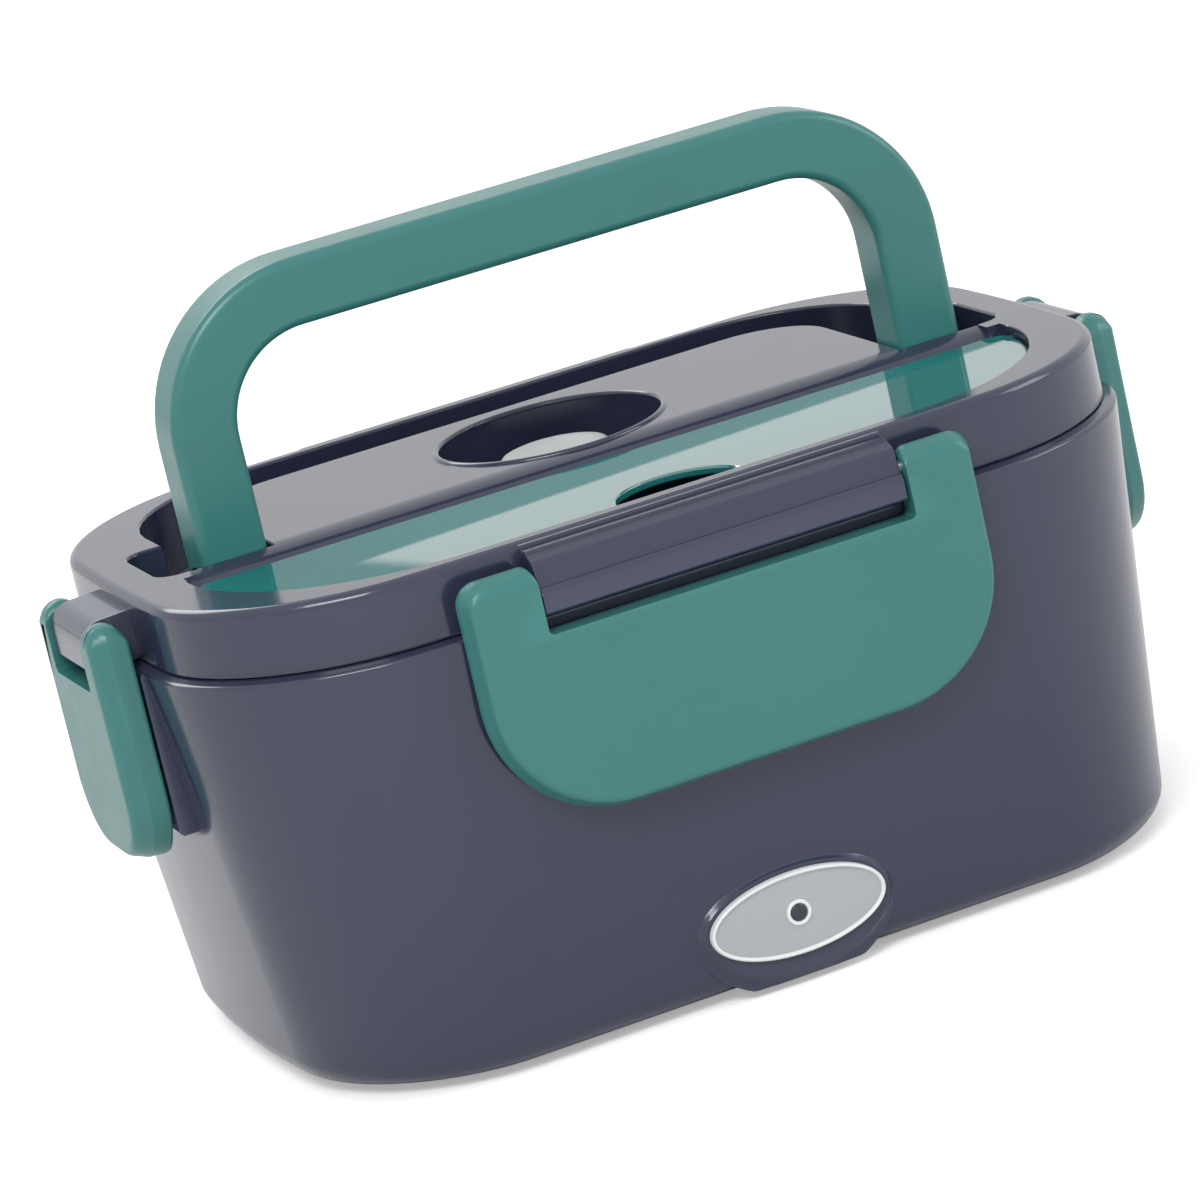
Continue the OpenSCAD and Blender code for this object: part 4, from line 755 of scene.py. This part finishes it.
bm = bmesh.new()
for turn in (0, 180):
    latch_block(bm, half=41.3, behind=6.3, top=7.3, slope=steps_down, place=at_side(turn, pin_y))
for turn in (90, 270):
    latch_block(bm, half=12.4, behind=9.4, top=4.6, slope=smooth_down, place=at_side(turn, pin_x))
make("latch_blocks", bm, slate, "lid", "slate_plastic", keep_sharp=25)

# The panel under the lid that plugs the tub's mouth, its silicone seal, and the pins
panel_z = 90.1  # the panel's underside, where the seal sits
panel_grey = finish_of("panel plastic", (0.42, 0.44, 0.47), 0.38, mottle=0.06)
bm = bmesh.new()
skin(bm, [(panel_z, rim_at(12.1)), (88.6, rim_at(12.1)), (88.3, rim_at(11.9)), (88.3, rim_at(10.9)),
          (88.6, rim_at(10.7)), (panel_z, rim_at(10.7)), (panel_z, rim_at(5.3)), (90.22, rim_at(5.05)),
          (90.5, rim_at(4.9)), (95.6, rim_at(4.9)), (95.6, rim_at(6.3)), (91.9, rim_at(6.3))])
make("lid_panel", bm, panel_grey, "lid", "panel_plastic", "lid_inner_panel")
silicone = finish_of("silicone", (0.42, 0.44, 0.44), 0.48, mottle=0.06, grain=900.0, depth=0.00002,
                     edge=0.1, Subsurface_Weight=0.15, Subsurface_Scale=0.002)
bm = bmesh.new()
skin(bm, [(panel_z, rim_at(9.6)), (88.2, rim_at(9.6)), (87.9, rim_at(9.3)), (87.9, rim_at(6.9)),
          (88.05, rim_at(6.3)), (88.5, rim_at(5.8)), (89.0, rim_at(5.5)), (panel_z, rim_at(5.5))],
     closed=True)
make("seal", bm, silicone, "lid", "silicone", "lid_seal", keep_sharp=50)
pin_metal = finish_of("pin steel", (0.55, 0.55, 0.55), 0.28, metallic=1.0, mottle=0.1)
for node in ("latch_pins", "handle_pins", "cover_hinge_pins"):
    as_supplied(node, pin_metal, "pin_steel")

# --- Steam vent plug ------------------------------------------------------
# A soft pale silicone plug, pushed down into the recess in the lid by its
# stem: a low cap with a rounded edge and a shallow dish in the middle.

cap_and_stem = [(0, 105.1), (5, 105.15), (7.6, 105.45), (8.6, 105.75), (9.6, 105.8), (10.8, 105.72),
                (11.7, 105.45), (12.3, 104.9), (12.5, 104.2), (12.5, 103.7), (12.2, 103.1),
                (11.5, 102.9), (4, 102.9), (4, 90.1), (3.6, 89.7), (3.2, 89.5), (0, 89.5)]
make("steam_plug", turned(cap_and_stem, 72), silicone, "vent", "silicone", "vent_plug", keep_sharp=50)

# --- Cutlery --------------------------------------------------------------
# A stamped spoon and fork lie in the tray, one in front of the other.

cutlery = finish_of("cutlery steel", (0.66, 0.66, 0.65), 0.16, metallic=1.0, mottle=0.05, grain=400.0,
                    depth=0.000006)
as_supplied("spoon", cutlery, "cutlery_steel", keep_sharp=40)
as_supplied("fork", cutlery, "cutlery_steel", keep_sharp=40)

# --- Cutlery cover --------------------------------------------------------
# A clear green flap, glossy on top, which swings up on a round barrel along
# its back edge. A half-moon in its front edge lets a finger in.

tint = finish_of("tinted plastic", (0.03, 0.29, 0.29), 0.05, mottle=0.05, depth=0.0, smudge=0.06,
                 edge=0.0, Transmission_Weight=0.5, IOR=1.12, Coat_IOR=2.15, Coat_Roughness=0.03)


def fade(tree, towards, start, width):
    """Rises from 0 to 1 over a width, in metres, along a direction across the cover."""
    place = tree.nodes.new("ShaderNodeTexCoord")
    along = tree.nodes.new("ShaderNodeVectorMath")
    along.operation = "DOT_PRODUCT"
    along.inputs[1].default_value = towards
    rise = tree.nodes.new("ShaderNodeMapRange")
    rise.interpolation_type = "SMOOTHSTEP"
    rise.inputs["From Min"].default_value = start
    rise.inputs["From Max"].default_value = start + width
    tree.links.new(place.outputs["Object"], along.inputs[0])
    tree.links.new(along.outputs["Value"], rise.inputs["Value"])
    return rise.outputs["Result"]


# Painted reflection: the coat lies only on a patch at the front of the cover, where a reflection of the
# backdrop falls; its back edge and left end get no coat.
tint_tree = tint.node_tree
reflection_patch = tint_tree.nodes.new("ShaderNodeMath")
reflection_patch.operation = "MULTIPLY"
tint_tree.links.new(fade(tint_tree, (0.1, -1, 0), 0.031, 0.003), reflection_patch.inputs[0])
tint_tree.links.new(fade(tint_tree, (1, 0.4, 0), -0.084, 0.008), reflection_patch.inputs[1])
tint_tree.links.new(reflection_patch.outputs[0], tint_tree.nodes["Principled BSDF"].inputs["Coat Weight"])
plate = tower([(z, tray_plan(inset, -hinge_y)) for z, inset in (
    (106.4, 0.45), (106.5, 0.2), (106.75, 0), (107.6, 0), (107.95, 0.12), (108.15, 0.4),
    (108.2, 0.8))], 28)


def moon_plan(grow):
    a, back = 14 + grow, -46 + grow
    return [(-a, -75, 0), (a, -75, 0), (a, back, a), (-a, back, a)]


moon_cut = tower([(z, moon_plan(grow)) for z, grow in (
    (104, 0.3), (106.4, 0.3), (106.7, 0), (107.6, 0), (107.95, 0.12), (108.15, 0.4), (108.22, 0.6),
    (112, 0.6))], 24)
bm = carve(plate, [moon_cut])
make("cover_plate", bm, tint, "cover", "tinted_plastic", "cutlery_cover", keep_sharp=30)
bm = bmesh.new()
soften(bm, rod(bm, 1.6, 187.2, (0, hinge_y, hinge_z), steps=40), 0.3)
make("cover_barrel", bm, tint, "cover", "tinted_plastic")

# --- Carry handle ---------------------------------------------------------
# One teal moulding: a flat-sided bow with softened edges on two legs, whose
# round feet turn on pins in the lid so that it folds back into the channel.

# A strong edge lift: a painted highlight along the teal parts' convex edges, with a little wear.
teal = finish_of("teal plastic", (0.036, 0.178, 0.166), 0.3, mottle=0.12, grain=1500.0, depth=0.00002,
                 smudge=0.15, edge=0.5)
leg_half, leg_r, edge_r = 82.6, 7.5, 2.2  # middle of a leg, its half depth, its edges' rounding
grip_half, grip_top, grip_r = 90, 168, 34.0  # the outside of the bow
pivot_y, pivot_z = -1.3, 101.5
side_half = grip_half - leg_half
bm = bmesh.new()
section = flat_plan(bm, [(-side_half, -leg_r, edge_r), (side_half, -leg_r, edge_r),
                         (side_half, leg_r, edge_r), (-side_half, leg_r, edge_r)], 0, steps=5)
bmesh.ops.translate(bm, vec=(-leg_half, 0, pivot_z), verts=section.verts)


def run_on(bm, face, vec, **how):
    made = bmesh.ops.extrude_face_region(bm, geom=[face], **how)
    bmesh.ops.translate(bm, vec=vec, verts=loose_verts(made))
    return next(g for g in made["geom"] if isinstance(g, bmesh.types.BMFace))


def bend(bm, face, centre, axis, angle, steps):
    made = bmesh.ops.spin(bm, geom=[face], cent=centre, axis=axis, angle=angle, steps=steps)
    return next(g for g in made["geom_last"] if isinstance(g, bmesh.types.BMFace))


bend_x, bend_z = grip_half - grip_r, grip_top - grip_r  # the middles of the two bends
end = run_on(bm, section, (0, 0, bend_z - pivot_z), use_keep_orig=True)
end = bend(bm, end, (-bend_x, 0, bend_z), (0, 1, 0), math.pi / 2, 20)
end = run_on(bm, end, (2 * bend_x, 0, 0))
end = bend(bm, end, (bend_x, 0, bend_z), (0, 1, 0), math.pi / 2, 20)
run_on(bm, end, (0, 0, pivot_z - bend_z))
for side in (-1, 1):
    soften(bm, rod(bm, leg_r, 2 * side_half, (side * leg_half, 0, pivot_z), steps=48), 0.8)
    soften(bm, rod(bm, 5.6, 9.4, (side * 93.7, 0, pivot_z), steps=40), 0.4)  # the hub on the pin
bmesh.ops.translate(bm, vec=(0, pivot_y, 0), verts=bm.verts)
make("carry_handle", bm, teal, "handle", "teal_plastic", "handle", keep_sharp=40)

# --- Latches --------------------------------------------------------------
# Four teal flaps that hang from pins in the lid and snap over the tub's
# ridges: long ones with big round corners on the sides, short at the ends.

face_out = 4.3  # a latch's face stands this far in front of its pin
notch_z = 92  # the foot of the notch between the ears
outer_r, inner_r, notch_r = 4.8, 2.2, 1.2  # corners: outside and inside of an ear, and in the notch
flap_wall = 2.4
bead_back = 5  # the bead ends this far inside the ears


def latch(name, body, turn, out, half, drop, ears, corner, behind, ridge_out):
    """A flap with two rounded ears at its top, hollow behind, and a bead that catches the ridge."""
    bm = bmesh.new()
    plan = plan_notes(bm)
    notch, inner = notch_z - pin_z, flap_wall - face_out
    corners = [(-half, face_out, outer_r), (-half, -drop, corner), (half, -drop, corner),
               (half, face_out, outer_r), (ears, face_out, inner_r), (ears, notch, notch_r),
               (-ears, notch, notch_r), (-ears, face_out, inner_r)]
    flat_plan(bm, corners, 0, steps=16)
    bmesh.ops.bisect_plane(bm, geom=list(bm.verts) + list(bm.edges) + list(bm.faces),
                           plane_co=(0, notch - flap_wall, 0), plane_no=(0, 1, 0))
    for v in bm.verts:
        v[plan] = v.co

    def set_ring(verts, inset, forward):
        for v in verts:
            x, z = v[plan].x, v[plan].y
            if abs(x) > (ears + half) / 2 or z < notch - 0.01:
                core = Vector((max(min(x, half - corner), corner - half), max(z, corner - drop)))
                shrink = (corner - inset) / corner
                x, z = core.x + (x - core.x) * shrink, core.y + (z - core.y) * shrink
            if z > 0:  # the ears' tops run round the pin
                z *= math.sqrt(max(0.0, 1 - (forward / face_out) ** 2))
            v.co = (x, -forward, z)

    made = bmesh.ops.extrude_face_region(bm, geom=list(bm.faces), use_keep_orig=True)
    front = set(loose_verts(made))
    set_ring([v for v in bm.verts if v not in front], 0.5, -behind)
    shape = [(0.15, 0.15 - behind), (0, -0.85 * behind), (0.05, -0.65 * behind), (0.1, -0.4 * behind),
             (0.17, -0.2 * behind), (0.25, 0), (0.8, 1.3), (1.3, 2.6), (1.55, 3.2), (1.85, 3.65),
             (2.25, 4.0), (2.7, 4.2), (3.3, face_out)]
    for i, (inset, forward) in enumerate(shape):
        if i:
            faces = [g for g in made["geom"] if isinstance(g, bmesh.types.BMFace)]
            made = bmesh.ops.extrude_face_region(bm, geom=faces)
        set_ring(loose_verts(made), inset, forward)
    backs = [f for f in bm.faces if all(abs(v.co.y - behind) < 0.01 for v in f.verts)]
    flap_back = min(backs, key=lambda f: f.calc_center_median().z)
    bmesh.ops.recalc_face_normals(bm, faces=bm.faces)
    bmesh.ops.inset_region(bm, faces=[flap_back], thickness=flap_wall, depth=0, use_even_offset=True)
    for v in loose_verts(bmesh.ops.extrude_face_region(bm, geom=[flap_back])):
        v.co.y = inner
    top = ridge_z - 0.7 - pin_z
    catch = [(ridge_out - 0.15, top), (ridge_out - 0.15, top - 1.6), (inner + 0.4, top - 3.4),
             (inner - 0.3, top - 3.4), (inner - 0.3, top)]
    bead_half = ears - bead_back
    bar(bm, catch, axes((0, 1, 0), (0, 0, 1), (1, 0, 0), (-bead_half, 0, 0)), 2 * bead_half)
    bmesh.ops.transform(bm, matrix=at_side(turn, out), verts=bm.verts)
    make(name, bm, teal, body, "teal_plastic", "latch_" + body.split("_")[0], keep_sharp=40)


for body, turn in (("front_latch", 0), ("rear_latch", 180)):
    latch(body + "_flap", body, turn, out=pin_y, half=58.4, drop=50.8, ears=41.8, corner=28,
          behind=1.2, ridge_out=0.66)
for body, turn in (("right_latch", 90), ("left_latch", 270)):
    latch(body + "_flap", body, turn, out=pin_x, half=21, drop=50.2, ears=12.9, corner=16,
          behind=4.3, ridge_out=3.7)

# The scene's box
low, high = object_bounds()
